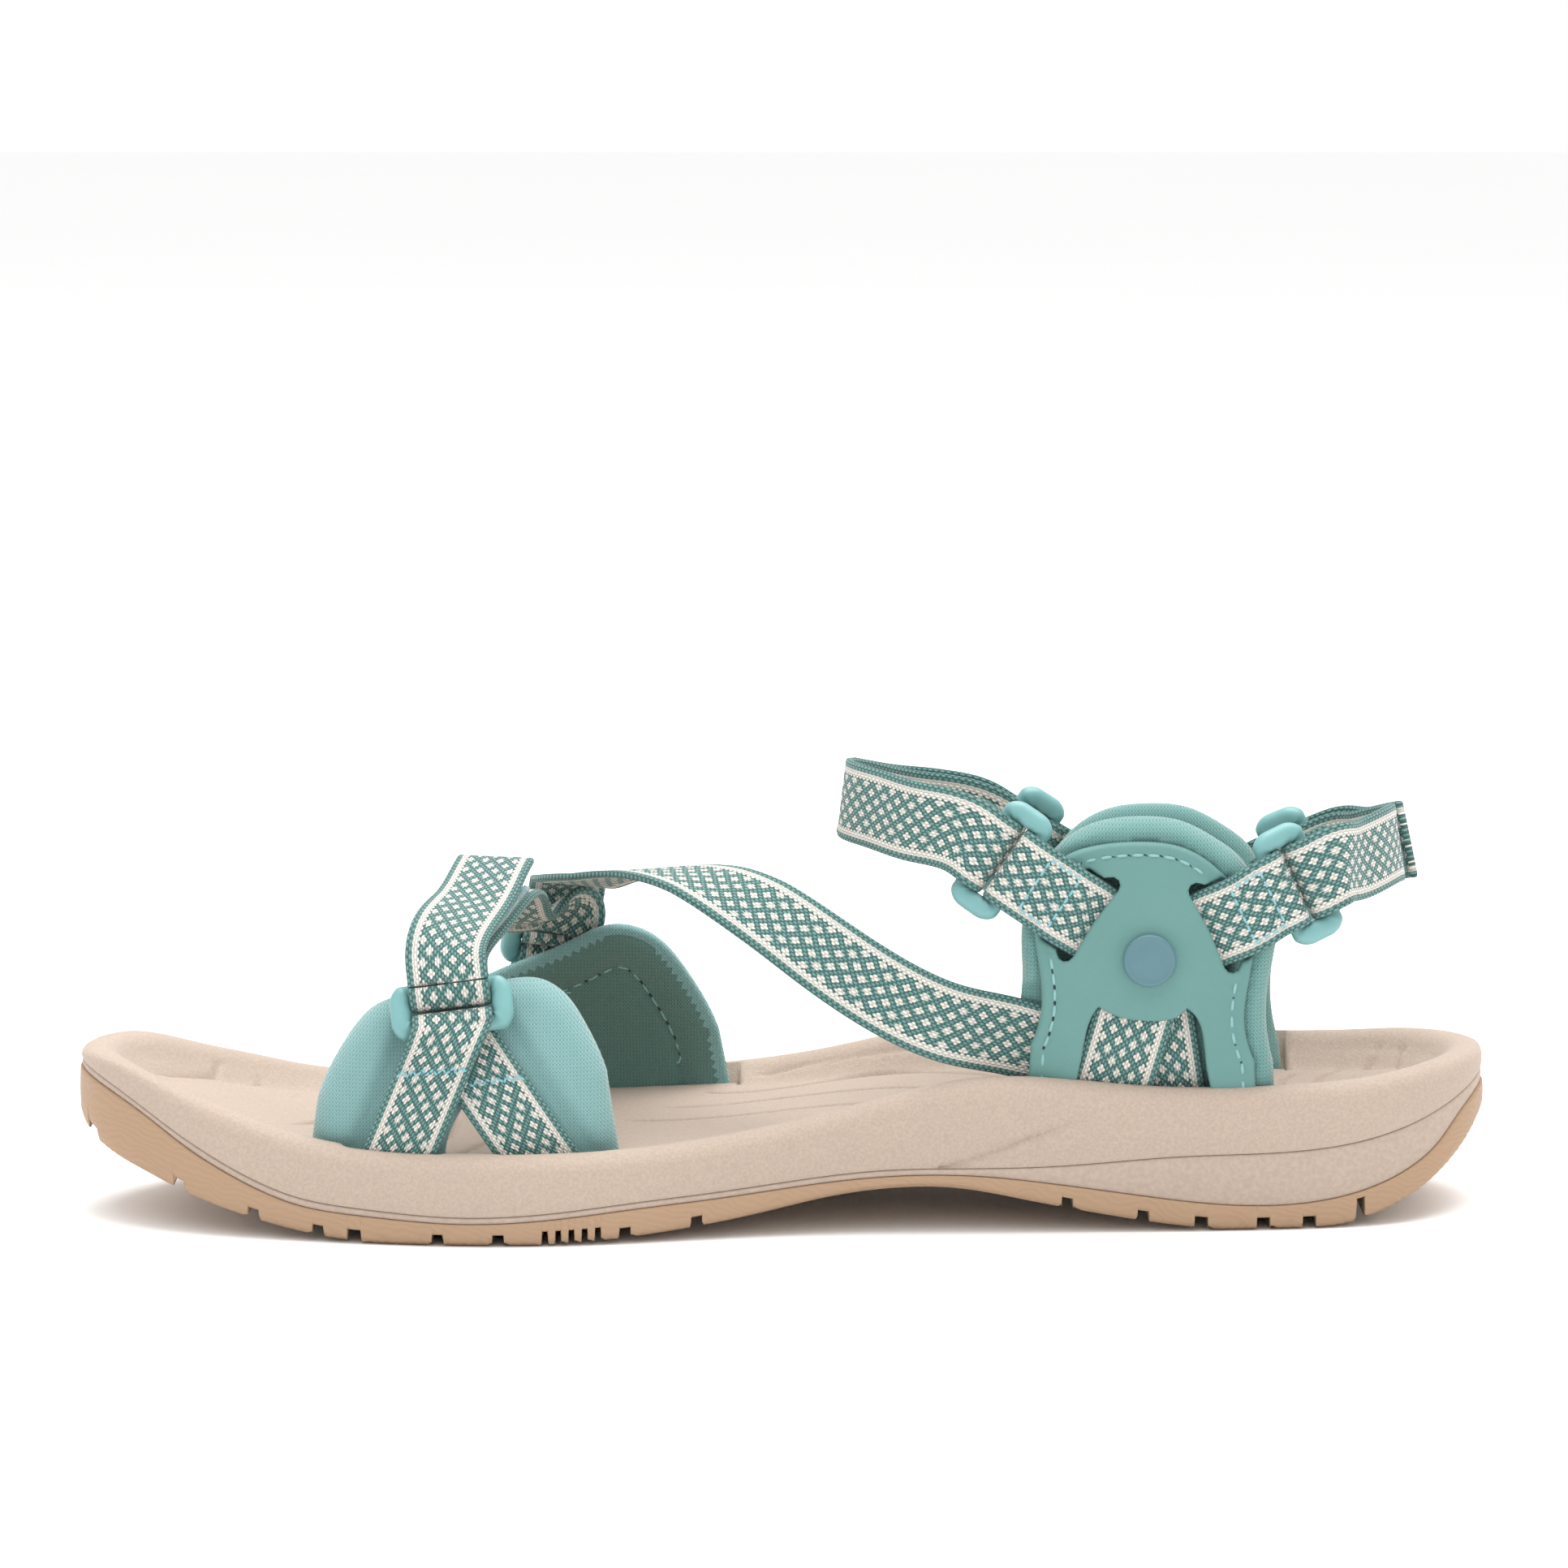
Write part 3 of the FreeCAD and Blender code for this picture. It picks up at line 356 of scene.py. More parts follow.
class Paint:
    """One node material under construction."""

    def __init__(self, name, rough=0.8, sheen=0.0, coat=0.0, specular=0.5):
        self.material = bpy.data.materials.new(name)
        self.material.use_nodes = True
        self.tree = self.material.node_tree
        self.shader = self.tree.nodes["Principled BSDF"]
        self.shader.inputs["Roughness"].default_value = rough
        self.shader.inputs["Sheen Weight"].default_value = sheen
        self.shader.inputs["Sheen Roughness"].default_value = 0.45
        self.shader.inputs["Coat Weight"].default_value = coat
        self.shader.inputs["Coat Roughness"].default_value = 0.3
        self.shader.inputs["Specular IOR Level"].default_value = specular
        self.place = self.tree.nodes.new("ShaderNodeTexCoord").outputs["Object"]

    def uv(self):
        node = self.tree.nodes.new("ShaderNodeUVMap")
        node.uv_map = "weave"
        split = self.tree.nodes.new("ShaderNodeSeparateXYZ")
        self.tree.links.new(node.outputs["UV"], split.inputs[0])
        return Field(self.tree, split.outputs[0]), Field(self.tree, split.outputs[1])

    def axis(self, index):
        split = self.tree.nodes.new("ShaderNodeSeparateXYZ")
        self.tree.links.new(self.place, split.inputs[0])
        return Field(self.tree, split.outputs[index]) * 1000.0

    def noise(self, size, detail=3.0, rough=0.55):
        """Noise whose blotches are about size millimetres across."""
        node = self.tree.nodes.new("ShaderNodeTexNoise")
        self.tree.links.new(self.place, node.inputs["Vector"])
        node.inputs["Scale"].default_value = 1000.0 / size
        node.inputs["Detail"].default_value = detail
        node.inputs["Roughness"].default_value = rough
        return Field(self.tree, node.outputs["Fac"])

    def cells(self, size):
        node = self.tree.nodes.new("ShaderNodeTexVoronoi")
        self.tree.links.new(self.place, node.inputs["Vector"])
        node.inputs["Scale"].default_value = 1000.0 / size
        return Field(self.tree, node.outputs["Distance"])

    def mix(self, factor, a, b):
        node = self.tree.nodes.new("ShaderNodeMix")
        node.data_type = "RGBA"
        self.tree.links.new(factor.socket, node.inputs[0])
        for socket, value in ((node.inputs[6], a), (node.inputs[7], b)):
            if isinstance(value, tuple):
                socket.default_value = value + (1.0,)
            else:
                self.tree.links.new(value, socket)
        return node.outputs[2]

    def colour(self, socket):
        self.tree.links.new(socket, self.shader.inputs["Base Color"])

    def roughness(self, field):
        self.tree.links.new(field.socket, self.shader.inputs["Roughness"])

    def bump(self, field, depth, strength=1.0):
        """Relief of depth millimetres."""
        node = self.tree.nodes.new("ShaderNodeBump")
        node.inputs["Strength"].default_value = strength
        node.inputs["Distance"].default_value = depth * MM
        self.tree.links.new(field.socket, node.inputs["Height"])
        self.tree.links.new(node.outputs["Normal"], self.shader.inputs["Normal"])


def shade(colour, factor):
    return tuple(min(1.0, c * factor) for c in colour)


TEAL = (0.125, 0.275, 0.255)
CREAM = (0.84, 0.80, 0.73)


def webbing_paint():
    """Jacquard tape: cream diamonds on teal, a cream stripe inside each teal selvedge, and visible threads."""
    paint = Paint("webbing_jacquard", rough=0.85, sheen=0.25, specular=0.3)
    u, v = paint.uv()
    drift = (paint.noise(1.6, 2.0) - 0.5) * 0.16
    thread = u / 0.52
    over = (v * (2 * math.pi / 1.15) + thread.floor() * math.pi).sin()
    rib = (thread * math.pi).sin().abs()
    height = rib.power(0.6) * (over * 0.4 + 0.6)
    p = u / 2.86 + v / 4.0 + drift
    q = u / 2.86 - v / 4.0 + drift
    diamond = (p * (2 * math.pi)).cos().least((q * (2 * math.pi)).cos()) + over * 0.22
    field = diamond.ramp(-0.28, 0.0)
    edge = u.abs() + over * 0.16
    stripe = edge.ramp(4.85, 5.0) * edge.ramp(6.05, 6.2, 1.0, 0.0)
    inner = edge.ramp(4.75, 4.95, 1.0, 0.0)
    cream = (field * inner).most(stripe)
    ground = paint.mix(paint.noise(0.9, 2.0), shade(TEAL, 0.72), shade(TEAL, 1.35))
    white = paint.mix(paint.noise(0.7, 2.0), shade(CREAM, 0.88), CREAM)
    woven = paint.mix(cream, ground, white)
    shadow = height.ramp(0.05, 0.75)
    paint.colour(paint.mix(shadow, paint.mix(cream, shade(TEAL, 0.3), shade(CREAM, 0.52)), woven))
    paint.roughness(height.ramp(0.0, 1.0, 0.95, 0.72))
    fuzz = paint.noise(0.12, 2.0) * 0.25
    paint.bump(height + cream * 0.35 + fuzz, 0.22)
    return paint.material


def knit_paint(name, light, hollow_shade, scale=0.62):
    """Jersey knit: columns of small V stitches with a soft pile, and painted shade in the hollows between stitches."""
    paint = Paint(name, rough=0.95, sheen=0.45, specular=0.25)
    u, v = paint.uv()
    column = u / scale
    wale = (column * math.pi).sin().abs()
    slant = ((column * (2 * math.pi)).cos() * 1.9)
    loop = ((v / (scale * 1.15)) * (2 * math.pi) + slant).sin() * 0.5 + 0.5
    height = (wale.power(0.8) * 0.45 + 0.55) * (loop * 0.65 + 0.35)
    tint = paint.mix(paint.noise(9.0, 3.0), shade(light, 0.93), shade(light, 1.05))
    # Painted shade: the low parts of each stitch take the shade colour, the raised loops the yarn colour.
    paint.colour(paint.mix(height.ramp(0.12, 0.62), hollow_shade, tint))
    paint.bump(height + paint.noise(0.15, 2.0) * 0.35, 0.13)
    return paint.material


def skin_paint():
    """Smooth coated synthetic of the quarter overlay, with a faint grain."""
    paint = Paint("overlay_skin", rough=0.6, sheen=0.08, specular=0.4)
    grain = paint.cells(0.42)
    cloud = paint.noise(14.0, 4.0)
    paint.colour(paint.mix(cloud, (0.105, 0.238, 0.222), (0.122, 0.262, 0.246)))
    paint.roughness(paint.noise(3.0, 3.0).ramp(0.2, 0.8, 0.52, 0.68))
    paint.bump(grain + paint.noise(0.9, 3.0) * 0.6, 0.035)
    return paint.material


def foam_paint(name, base, stipple, depth):
    """Moulded EVA foam: even matt skin with fine stipple, painted shade in the stipple pits, and slight colour drift.
    """
    paint = Paint(name, rough=0.82, sheen=0.12, specular=0.3)
    pits = paint.noise(stipple, 3.0, 0.6)
    drift = paint.noise(22.0, 3.0)
    tone = paint.mix(drift, shade(base, 0.965), shade(base, 1.03))
    # Painted shade: the stipple pits, set low by the bump below, are coloured darker.
    paint.colour(paint.mix(pits.ramp(0.30, 0.72), paint.mix(drift, shade(base, 0.86), shade(base, 0.9)), tone))
    paint.roughness(pits.ramp(0.3, 0.7, 0.9, 0.75))
    paint.bump(pits + paint.noise(stipple * 3.2, 2.0) * 0.6, depth)
    return paint.material


def gum_paint():
    """Gum rubber with fine moulded contour lines, darker and rougher in patches towards the bottom edge."""
    paint = Paint("gum_rubber", rough=0.68, sheen=0.05, specular=0.35)
    x, z = paint.axis(0), paint.axis(2)
    swirl = paint.noise(9.0, 2.0)
    lines = ((z * 0.9 + x * 0.25 + swirl * 7.0) * (2 * math.pi / 1.1)).sin() * 0.5 + 0.5
    # Patches within the lowest 3 mm are coloured darker and made rougher.
    low_edge_patches = paint.noise(2.5, 5.0).ramp(0.5, 0.75) * z.ramp(0.2, 3.0, 1.0, 0.0)
    base = paint.mix(swirl, (0.345, 0.225, 0.140), (0.375, 0.245, 0.152))
    lined = paint.mix(lines, base, (0.378, 0.250, 0.158))
    paint.colour(paint.mix(low_edge_patches, lined, (0.30, 0.195, 0.122)))
    paint.roughness(low_edge_patches.ramp(0.0, 1.0, 0.62, 0.85))
    paint.bump(lines * 0.6 + paint.noise(0.5, 3.0) * 0.5, 0.07)
    return paint.material


def plastic_paint(name, base, rough, coat):
    """Moulded plastic with a faint satin grain and handling wear."""
    paint = Paint(name, rough=rough, coat=coat, specular=0.5)
    cloud = paint.noise(5.0, 3.0)
    paint.colour(paint.mix(cloud, shade(base, 0.92), shade(base, 1.06)))
    paint.roughness(paint.noise(1.2, 4.0).ramp(0.25, 0.75, rough - 0.08, rough + 0.1))
    paint.bump(paint.noise(0.25, 2.0), 0.012)
    return paint.material


def tape_paint(name, base):
    """Fuzzy hook-and-loop tape."""
    paint = Paint(name, rough=0.95, sheen=0.5, specular=0.2)
    tuft = paint.cells(0.55)
    paint.colour(paint.mix(tuft.ramp(0.1, 0.7), shade(base, 1.15), shade(base, 0.6)))
    paint.bump(tuft + paint.noise(0.2, 3.0), 0.25)
    return paint.material


def thread_paint(name, base):
    """Twisted sewing thread, with painted highlight on the crests of the twist and painted shade in its grooves."""
    paint = Paint(name, rough=0.7, sheen=0.3, specular=0.35)
    x, z = paint.axis(0), paint.axis(2)
    twist = ((x + z) * (2 * math.pi / 0.35)).sin() * 0.5 + 0.5
    # Painted light and shade: the crests of the twist are coloured lighter, the grooves darker.
    paint.colour(paint.mix(twist, shade(base, 0.75), shade(base, 1.1)))
    paint.bump(twist + paint.noise(0.1, 1.0) * 0.4, 0.05)
    return paint.material


def floor_paint():
    paint = Paint("floor_pale", rough=0.9, specular=0.1)
    paint.colour(paint.mix(paint.noise(260.0, 2.0), (0.955, 0.955, 0.955), (0.97, 0.97, 0.965)))
    return paint.material


def steel_paint():
    paint = Paint("washer_steel", rough=0.35, specular=0.5)
    paint.shader.inputs["Metallic"].default_value = 1.0
    paint.colour(paint.mix(paint.noise(1.5, 4.0), (0.42, 0.43, 0.44), (0.60, 0.61, 0.62)))
    paint.roughness(paint.noise(0.8, 4.0).ramp(0.3, 0.7, 0.28, 0.5))
    paint.bump(paint.noise(0.3, 2.0), 0.01)
    return paint.material


EVA = (0.465, 0.37, 0.302)
PAINTS = {
    "webbing": webbing_paint(),
    # The second colour of each knit is painted shade for the hollows between stitches.
    "knit_pad": knit_paint("knit_pad", (0.225, 0.395, 0.390), (0.10, 0.22, 0.22)),
    "knit_lining": knit_paint("knit_lining", (0.165, 0.33, 0.31), (0.07, 0.165, 0.155)),
    "knit_inner": knit_paint("knit_inner", (0.125, 0.232, 0.208), (0.055, 0.120, 0.106)),
    "overlay_skin": skin_paint(),
    "eva_stippled": foam_paint("eva_stippled", EVA, 0.55, 0.11),
    "eva_smooth": foam_paint("eva_smooth", shade(EVA, 0.97), 0.9, 0.05),
    "gum_rubber": gum_paint(),
    "ring_plastic": plastic_paint("ring_plastic", (0.16, 0.36, 0.36), 0.42, 0.15),
    "rivet_cap": plastic_paint("rivet_cap", (0.085, 0.185, 0.215), 0.5, 0.1),
    "rivet_washer": steel_paint(),
    "hook_tape": tape_paint("hook_tape", (0.30, 0.56, 0.57)),
    "loop_tape": tape_paint("loop_tape", (0.33, 0.58, 0.58)),
    "thread_pale": thread_paint("thread_pale", (0.26, 0.50, 0.50)),
    "thread_blue": thread_paint("thread_blue", (0.25, 0.55, 0.62)),
    # Near-black thread colour, used as painted shade in the needle holes.
    "needle_hole_shade": thread_paint("needle_hole_shade", (0.015, 0.035, 0.035)),
    "nylon_shank": plastic_paint("nylon_shank", (0.03, 0.03, 0.032), 0.5, 0.0),
}


# ---------------------------------------------------------------- making pieces
def piece(name, points, faces, paint, slot, body="sandal", nodes=(), uv=None, recalc=True, flat=False, ride=True):
    """Mesh object from millimetre points; uv gives each vertex its weave coordinates in millimetres."""
    mesh = bpy.data.meshes.new(name)
    mesh.from_pydata([tuple(p) for p in np.asarray(points, float) * MM], [],
                     [tuple(int(i) for i in f) for f in faces])
    if uv is None:
        uv = np.asarray(points, float)[:, [0, 2]]
    layer = mesh.uv_layers.new(name="weave")
    index = np.zeros(len(mesh.loops), np.int32)
    mesh.loops.foreach_get("vertex_index", index)
    layer.data.foreach_set("uv", np.asarray(uv, np.float32)[index].ravel())
    if recalc:
        work = bmesh.new()
        work.from_mesh(mesh)
        bmesh.ops.recalc_face_normals(work, faces=work.faces)
        work.to_mesh(mesh)
        work.free()
    mesh.validate()
    if not flat:
        mesh.polygons.foreach_set("use_smooth", [True] * len(mesh.polygons))
    mesh.materials.append(PAINTS[paint])
    obj = bpy.data.objects.new(name, mesh)
    bpy.context.scene.collection.objects.link(obj)
    if nodes:
        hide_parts(*nodes)
    if ride:
        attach(obj, body)
    return obj


def stations_through(points, normals, step=1.2):
    """Stations (point, normal) along a smooth curve through the given points."""
    points = np.array(points, float)
    normals = np.array(normals, float)
    lengths = np.concatenate([[0], np.cumsum(np.linalg.norm(np.diff(points, axis=0), axis=1))])
    at, end = spline(points, lengths)
    count = max(2, int(round(end / step)))
    places = np.linspace(0, end, count + 1)
    path = at(places)
    leg = np.clip(np.searchsorted(lengths, places, side="right") - 1, 0, len(lengths) - 2)
    share = ((places - lengths[leg]) / (lengths[leg + 1] - lengths[leg]))[:, None]
    ups = normals[leg] * (1 - share) + normals[leg + 1] * share
    return list(zip(path, ups))


def frames(stations):
    """Points, and unit directions along, across and out of the strap."""
    points = np.array([s[0] for s in stations])
    ups = np.array([s[1] for s in stations])
    ahead = np.vstack([points[1:], points[-1:]])
    back = np.vstack([points[:1], points[:-1]])
    along = unit(ahead - back)
    across = unit(np.cross(along, ups))
    return points, along, across, np.cross(across, along)


def shifted(stations, gap):
    points, _, _, up = frames(stations)
    return list(zip(points + up * gap, up))


def run_of(stations):
    points = np.array([s[0] for s in stations])
    return np.concatenate([[0], np.cumsum(np.linalg.norm(np.diff(points, axis=0), axis=1))])


def between(stations, low, high):
    """Stations whose distance from the start is from low to high."""
    run = run_of(stations)
    return [s for s, r in zip(stations, run) if low <= r <= high]


SECTION = [(-1.0, 0.0), (-0.99, 0.55), (-0.965, 0.86), (-0.90, 1.0), (-0.7, 1.0), (-0.5, 1.0), (-0.3, 1.0), (-0.1, 1.0),
           (0.1, 1.0), (0.3, 1.0), (0.5, 1.0), (0.7, 1.0), (0.90, 1.0), (0.965, 0.86), (0.99, 0.55), (1.0, 0.0)]
SECTION += [(a, -b) for a, b in reversed(SECTION[1:-1])]


def ribbon(name, stations, paint="webbing", slot="webbing", thick=THICK, width=WIDTH, crown=None, bar=None,
           wave=0.0, start=0.0, cut_low=None, **kw):
    """Woven tape with rounded edges carried through the stations."""
    points, along, across, up = frames(stations)
    run = run_of(stations) + start
    half = across * (width / 2)
    if bar is not None:
        sense = np.where(across @ bar > 0, 1.0, -1.0)[:, None]
        flat = bar - up * (up @ bar)[:, None]
        half = unit(flat) * sense * width / 2
    crown = np.zeros(len(points)) if crown is None else np.asarray(crown, float)
    shape = np.array(SECTION)
    a = shape[:, 0][None, :, None]
    lift = (shape[:, 1] * thick / 2)[None, :, None] - crown[:, None, None] * a ** 2
    if wave:
        ripple = np.sin(run / 5.3 + 0.7)[:, None, None] * a * wave + np.sin(run / 3.1)[:, None, None] * a ** 2 * wave * 0.6
        lift = lift + ripple
    verts = points[:, None] + half[:, None] * a + up[:, None] * lift
    if cut_low is not None:
        verts[..., 2] = np.maximum(verts[..., 2], cut_low)
    rows, cols = verts.shape[:2]
    faces = []
    for i in range(rows - 1):
        for k in range(cols):
            j = (k + 1) % cols
            faces.append((i * cols + k, i * cols + j, (i + 1) * cols + j, (i + 1) * cols + k))
    faces.append(tuple(range(cols)))
    faces.append(tuple((rows - 1) * cols + k for k in range(cols)))
    uv = np.stack([np.broadcast_to(shape[:, 0] * width / 2, (rows, cols)),
                   np.broadcast_to(run[:, None], (rows, cols))], axis=-1).reshape(-1, 2)
    return piece(name, verts.reshape(-1, 3), faces, paint, slot, uv=uv, **kw)


def panel(name, barrel, loops, front, back, paint, slot, spacing=1.3, insets=(0.12, 0.35, 0.7, 1.2, 1.9, 2.8),
          behind=None, **kw):
    """Curved panel: a side-view region with holes, between a front and a back offset from the side surface."""
    seeds = []
    for loop in loops:
        normals = inward(loop) * (1 if loop is loops[0] else -1)
        for gap in insets:
            ring = loop + normals * gap
            clear = np.min([distance(ring, other) for other in loops], axis=0)
            seeds.append(ring[clear > gap * 0.9][::1 if gap < 1 else 2])
    middle = grid(loops[0], spacing)
    clear = np.min([distance(middle, other) for other in loops], axis=0)
    seeds.append(middle[clear > insets[-1] + spacing * 0.6])
    seeds = np.vstack(seeds)
    keep = inside(seeds, loops[0])
    for hole in loops[1:]:
        keep &= ~inside(seeds, hole)
    flat, tris = triangulate(loops, seeds[keep])
    gap = np.min([distance(flat, loop) for loop in loops], axis=0)
    outer = distance(flat, loops[0])
    x, z = flat[:, 0], flat[:, 1]
    face = barrel.point(x, z, front(gap, outer, x, z))
    rear = barrel.point(x, z, back(gap, outer, x, z))
    count = len(flat)
    points = np.vstack([face, rear])
    faces = [tuple(t) for t in tris] + [tuple(reversed(t + count)) for t in tris]
    once = {}
    for tri in tris:
        for i in range(3):
            a, b = int(tri[i]), int(tri[(i + 1) % 3])
            if (b, a) in once:
                del once[(b, a)]
            else:
                once[(a, b)] = True
    faces += [(b, a, a + count, b + count) for a, b in once]
    obj = piece(name, points, faces, paint, slot, uv=np.vstack([flat, flat]), **kw)
    if behind:
        obj.data.materials.append(PAINTS[behind])
        for polygon in obj.data.polygons:
            if min(polygon.vertices) >= count and gap[np.array(polygon.vertices) - count].min() > 1.4:
                polygon.material_index = 1
    return obj


def rounded(gap, radius):
    q = np.clip(gap / radius, 0, 1)
    return np.sqrt(np.maximum(1 - (1 - q) ** 2, 0))


def stitches(name, path, ups, dash=2.1, gap=0.8, radius=0.27, sides=7, paint="thread_pale", hole=True, **kw):
    """Row of sewn dashes along a path on a surface, with small near-black dishes of painted shade at the needle holes
    between them.
    """
    path, ups = np.asarray(path, float), unit(ups)
    run = np.concatenate([[0], np.cumsum(np.linalg.norm(np.diff(path, axis=0), axis=1))])
    total = run[-1]
    count = max(1, int(total / (dash + gap)))
    pitch = total / count
    size = pitch * dash / (dash + gap)

    def spot(s):
        return (np.array([np.interp(s, run, path[:, k]) for k in range(3)]),
                unit(np.array([np.interp(s, run, ups[:, k]) for k in range(3)])))
    verts, faces = [], []
    holes, hole_shade_faces = [], []
    for i in range(count):
        middle = (i + 0.5) * pitch
        rows = []
        for k in range(9):
            f = k / 8
            here, up = spot(middle + (f - 0.5) * size)
            ahead, _ = spot(middle + (f - 0.5) * size + 0.05)
            back, _ = spot(middle + (f - 0.5) * size - 0.05)
            along = unit(ahead - back)
            side = np.cross(along, up)
            fat = radius * (0.35 + 0.65 * math.sin(math.pi * f) ** 0.5)
            arch = radius * (math.sin(math.pi * f) ** 0.6) * 0.9 - radius * 0.55
            rows.append([here + up * (arch + fat * math.sin(q)) + side * fat * 1.15 * math.cos(q)
                         for q in np.linspace(0, 2 * math.pi, sides, endpoint=False)])
        first = len(verts)
        for row in rows:
            verts.extend(row)
        for r in range(8):
            for q in range(sides):
                w = (q + 1) % sides
                faces.append((first + r * sides + q, first + r * sides + w, first + (r + 1) * sides + w,
                              first + (r + 1) * sides + q))
        faces.append(tuple(first + q for q in range(sides)))
        faces.append(tuple(first + 8 * sides + q for q in range(sides)))
        here, up = spot(i * pitch)
        ahead, _ = spot(i * pitch + 0.1)
        along = unit(ahead - here)
        side = np.cross(along, up)
        # Painted shade: a small near-black dish sunk at each needle hole between the dashes.
        first = len(holes)
        holes.append(here + up * 0.05)
        for q in np.linspace(0, 2 * math.pi, 10, endpoint=False):
            holes.append(here + along * math.cos(q) * 0.46 + side * math.sin(q) * 0.3 + up * 0.03)
        for q in np.linspace(0, 2 * math.pi, 10, endpoint=False):
            holes.append(here + along * math.cos(q) * 0.4 + side * math.sin(q) * 0.26 - up * 0.3)
        for q in range(10):
            w = (q + 1) % 10
            hole_shade_faces.append((first, first + 1 + q, first + 1 + w))
            hole_shade_faces.append((first + 1 + q, first + 11 + q, first + 11 + w, first + 1 + w))
        hole_shade_faces.append(tuple(first + 11 + q for q in range(10)))
    made = piece(name, verts, faces, paint, kw.pop("slot", "overlay_skin"), **kw)
    if hole:
        piece(name + "_hole_shades", holes, hole_shade_faces, "needle_hole_shade", "overlay_skin")
    return made


# ---------------------------------------------------------------- sole
PLAN = [(-131, -9), (-127.5, -21), (-117, -31), (-103, -37.5), (-88, -42), (-70, -46), (-54, -47.5),
        (-38, -46.5), (-22, -43), (-5, -38.8), (15, -36), (35, -35.5), (55, -34.5), (80, -33),
        (100, -30.5), (115, -25.5), (126, -15.5), (131, 0), (127, 14), (117, 25), (102, 31.5),
        (80, 34), (55, 34), (30, 34.5), (10, 37.5), (-10, 43), (-28, 47), (-42, 47.5), (-60, 45.5),
        (-80, 39.5), (-98, 31), (-114, 20), (-126, 6)]
OUTSOLE_TOP = height_line([(-134, 28), (-125.4, 25), (-117, 20.6), (-110.4, 16.2), (-100, 10.5), (-89, 6.4),
                           (-77, 4.9), (-60, 3.9), (-45, 4.4), (-28, 6), (-10, 7.5), (5, 9.2), (20, 10.5),
                           (36, 10.4), (50, 8.8), (63, 6.9), (78, 4.9), (97, 4.7), (106, 6.3), (115.7, 10),
                           (121, 13.6), (126, 19), (134, 24.5)])
MIDSOLE_TOP = height_line([(-134, 29.3), (-125, 26.2), (-113, 19.2), (-101, 12.4), (-89, 7.8), (-77, 6.2),
                           (-60, 5.1), (-45, 5.6), (-28, 7.2), (-10, 8.7), (5, 10.4), (20, 11.7), (32, 11.9),
                           (52, 12.3), (72, 13.7), (88, 14.1), (103, 15.2), (117.4, 18.7), (126, 22.4), (134, 27)])
RIM_TOP = height_line([(-134, 30), (-124, 30.3), (-113, 26.5), (-103, 23), (-93, 19.8), (-80, 17.3), (-65, 16.3),
                       (-45, 16.2), (-25, 16.8), (-8, 18.8), (8, 22), (22, 25.6), (36, 28.3), (50, 28),
                       (65, 26.8), (80, 26.3), (95, 26.3), (110, 27.3), (122, 29), (134, 29.8)])
FOOT_TOP = height_line([(-134, 26.5), (-122, 24), (-112, 21), (-100, 17.8), (-88, 15.6), (-75, 14.2), (-55, 13.6),
                        (-35, 13.8), (-15, 15), (5, 17), (25, 19.5), (45, 20.8), (65, 20.6), (85, 20.2),
                        (100, 20.4), (115, 21.5), (134, 24)])
UNDER_TOE = height_line([(-134, 20.5), (-126, 14), (-118, 10.6), (-107, 6.3), (-95, 2.9), (-84, 0.8), (-72, 0)])
UNDER_ARCH = height_line([(-45, 0), (-30, 0.8), (-16, 2.3), (-4, 4.3), (8, 6.8), (20, 8.3), (32, 8.2), (44, 6),
                          (56, 3.6), (68, 1.5), (80, 0)])
UNDER_HEEL = height_line([(100, 0), (106, 1), (112, 3.1), (118, 6), (124, 10.3), (128.5, 14.8), (134, 23)])


def under(x):
    x = np.asarray(x, float)
    arch = np.where((x > -45) & (x < 80), UNDER_ARCH(x), 0)
    return np.where(x < -72, UNDER_TOE(x), np.where(x > 100, UNDER_HEEL(x), arch))


# Lug cuts of the outsole: x from, x to, y from, y to, depth.
LUGS = [(x, x + 2.0, -60, 60, 2.0) for x in (-112, -98, -86, -64, -53, -30, -17, 51, 65)]
LUGS += [(105.5, 107.0, -60, 60, 4.2)]
LUGS += [(x, x + 1.0, -60, -38, 2.6) for x in (-44.0, -41.6, -39.2, -36.8, -34.4)]
LUGS += [(x, x + 1.0, 38, 60, 2.6) for x in (-44.0, -41.6, -39.2, -36.8, -34.4)]
LUGS += [(x, x + 2.4, -60, -22, 2.2) for x in (-79.5, 75.5, 87.0, 95.5)]
LUGS += [(x, x + 2.4, 22, 60, 2.2) for x in (-79.5, 75.5, 87.0, 95.5)]
LUGS += [(-128.8, -127.0, -40, 40, 2.0)]
CHANNELS = [(-98, -20, -15, -13.2, 2.0), (-98, -20, 13.2, 15, 2.0), (52, 105, -0.9, 0.9, 2.0)]
EDGE = 0.12

outline_at, outline_end = spline(PLAN, closed=True)
fine = outline_at(np.linspace(0, outline_end, 1101)[:-1])
marks = []
for x0, x1, y0, y1, _ in LUGS:
    marks += [x0 - EDGE, x0, x1, x1 + EDGE]
loop = []
for a, b in zip(fine, np.roll(fine, -1, axis=0)):
    loop.append(a)
    hits = [m for m in marks if (a[0] - m) * (b[0] - m) < 0]
    share = sorted((m - a[0]) / (b[0] - a[0]) for m in hits)
    loop += [a + (b - a) * s for s in share]
OUTLINE = np.array(loop)
INWARD = inward(OUTLINE)
FOAM = (fine, inward(fine))
nearest = [int(np.argmin(np.hypot(*(fine - spot).T))) for spot in OUTLINE]
INWARD = FOAM[1][nearest]


def stack(rows):
    """Vertices and faces of closed loops stacked on each other."""
    verts = np.vstack(rows)
    count = len(rows[0])
    faces = []
    for r in range(len(rows) - 1):
        for i in range(count):
            j = (i + 1) % count
            faces.append((r * count + i, r * count + j, (r + 1) * count + j, (r + 1) * count + i))
    return verts, faces


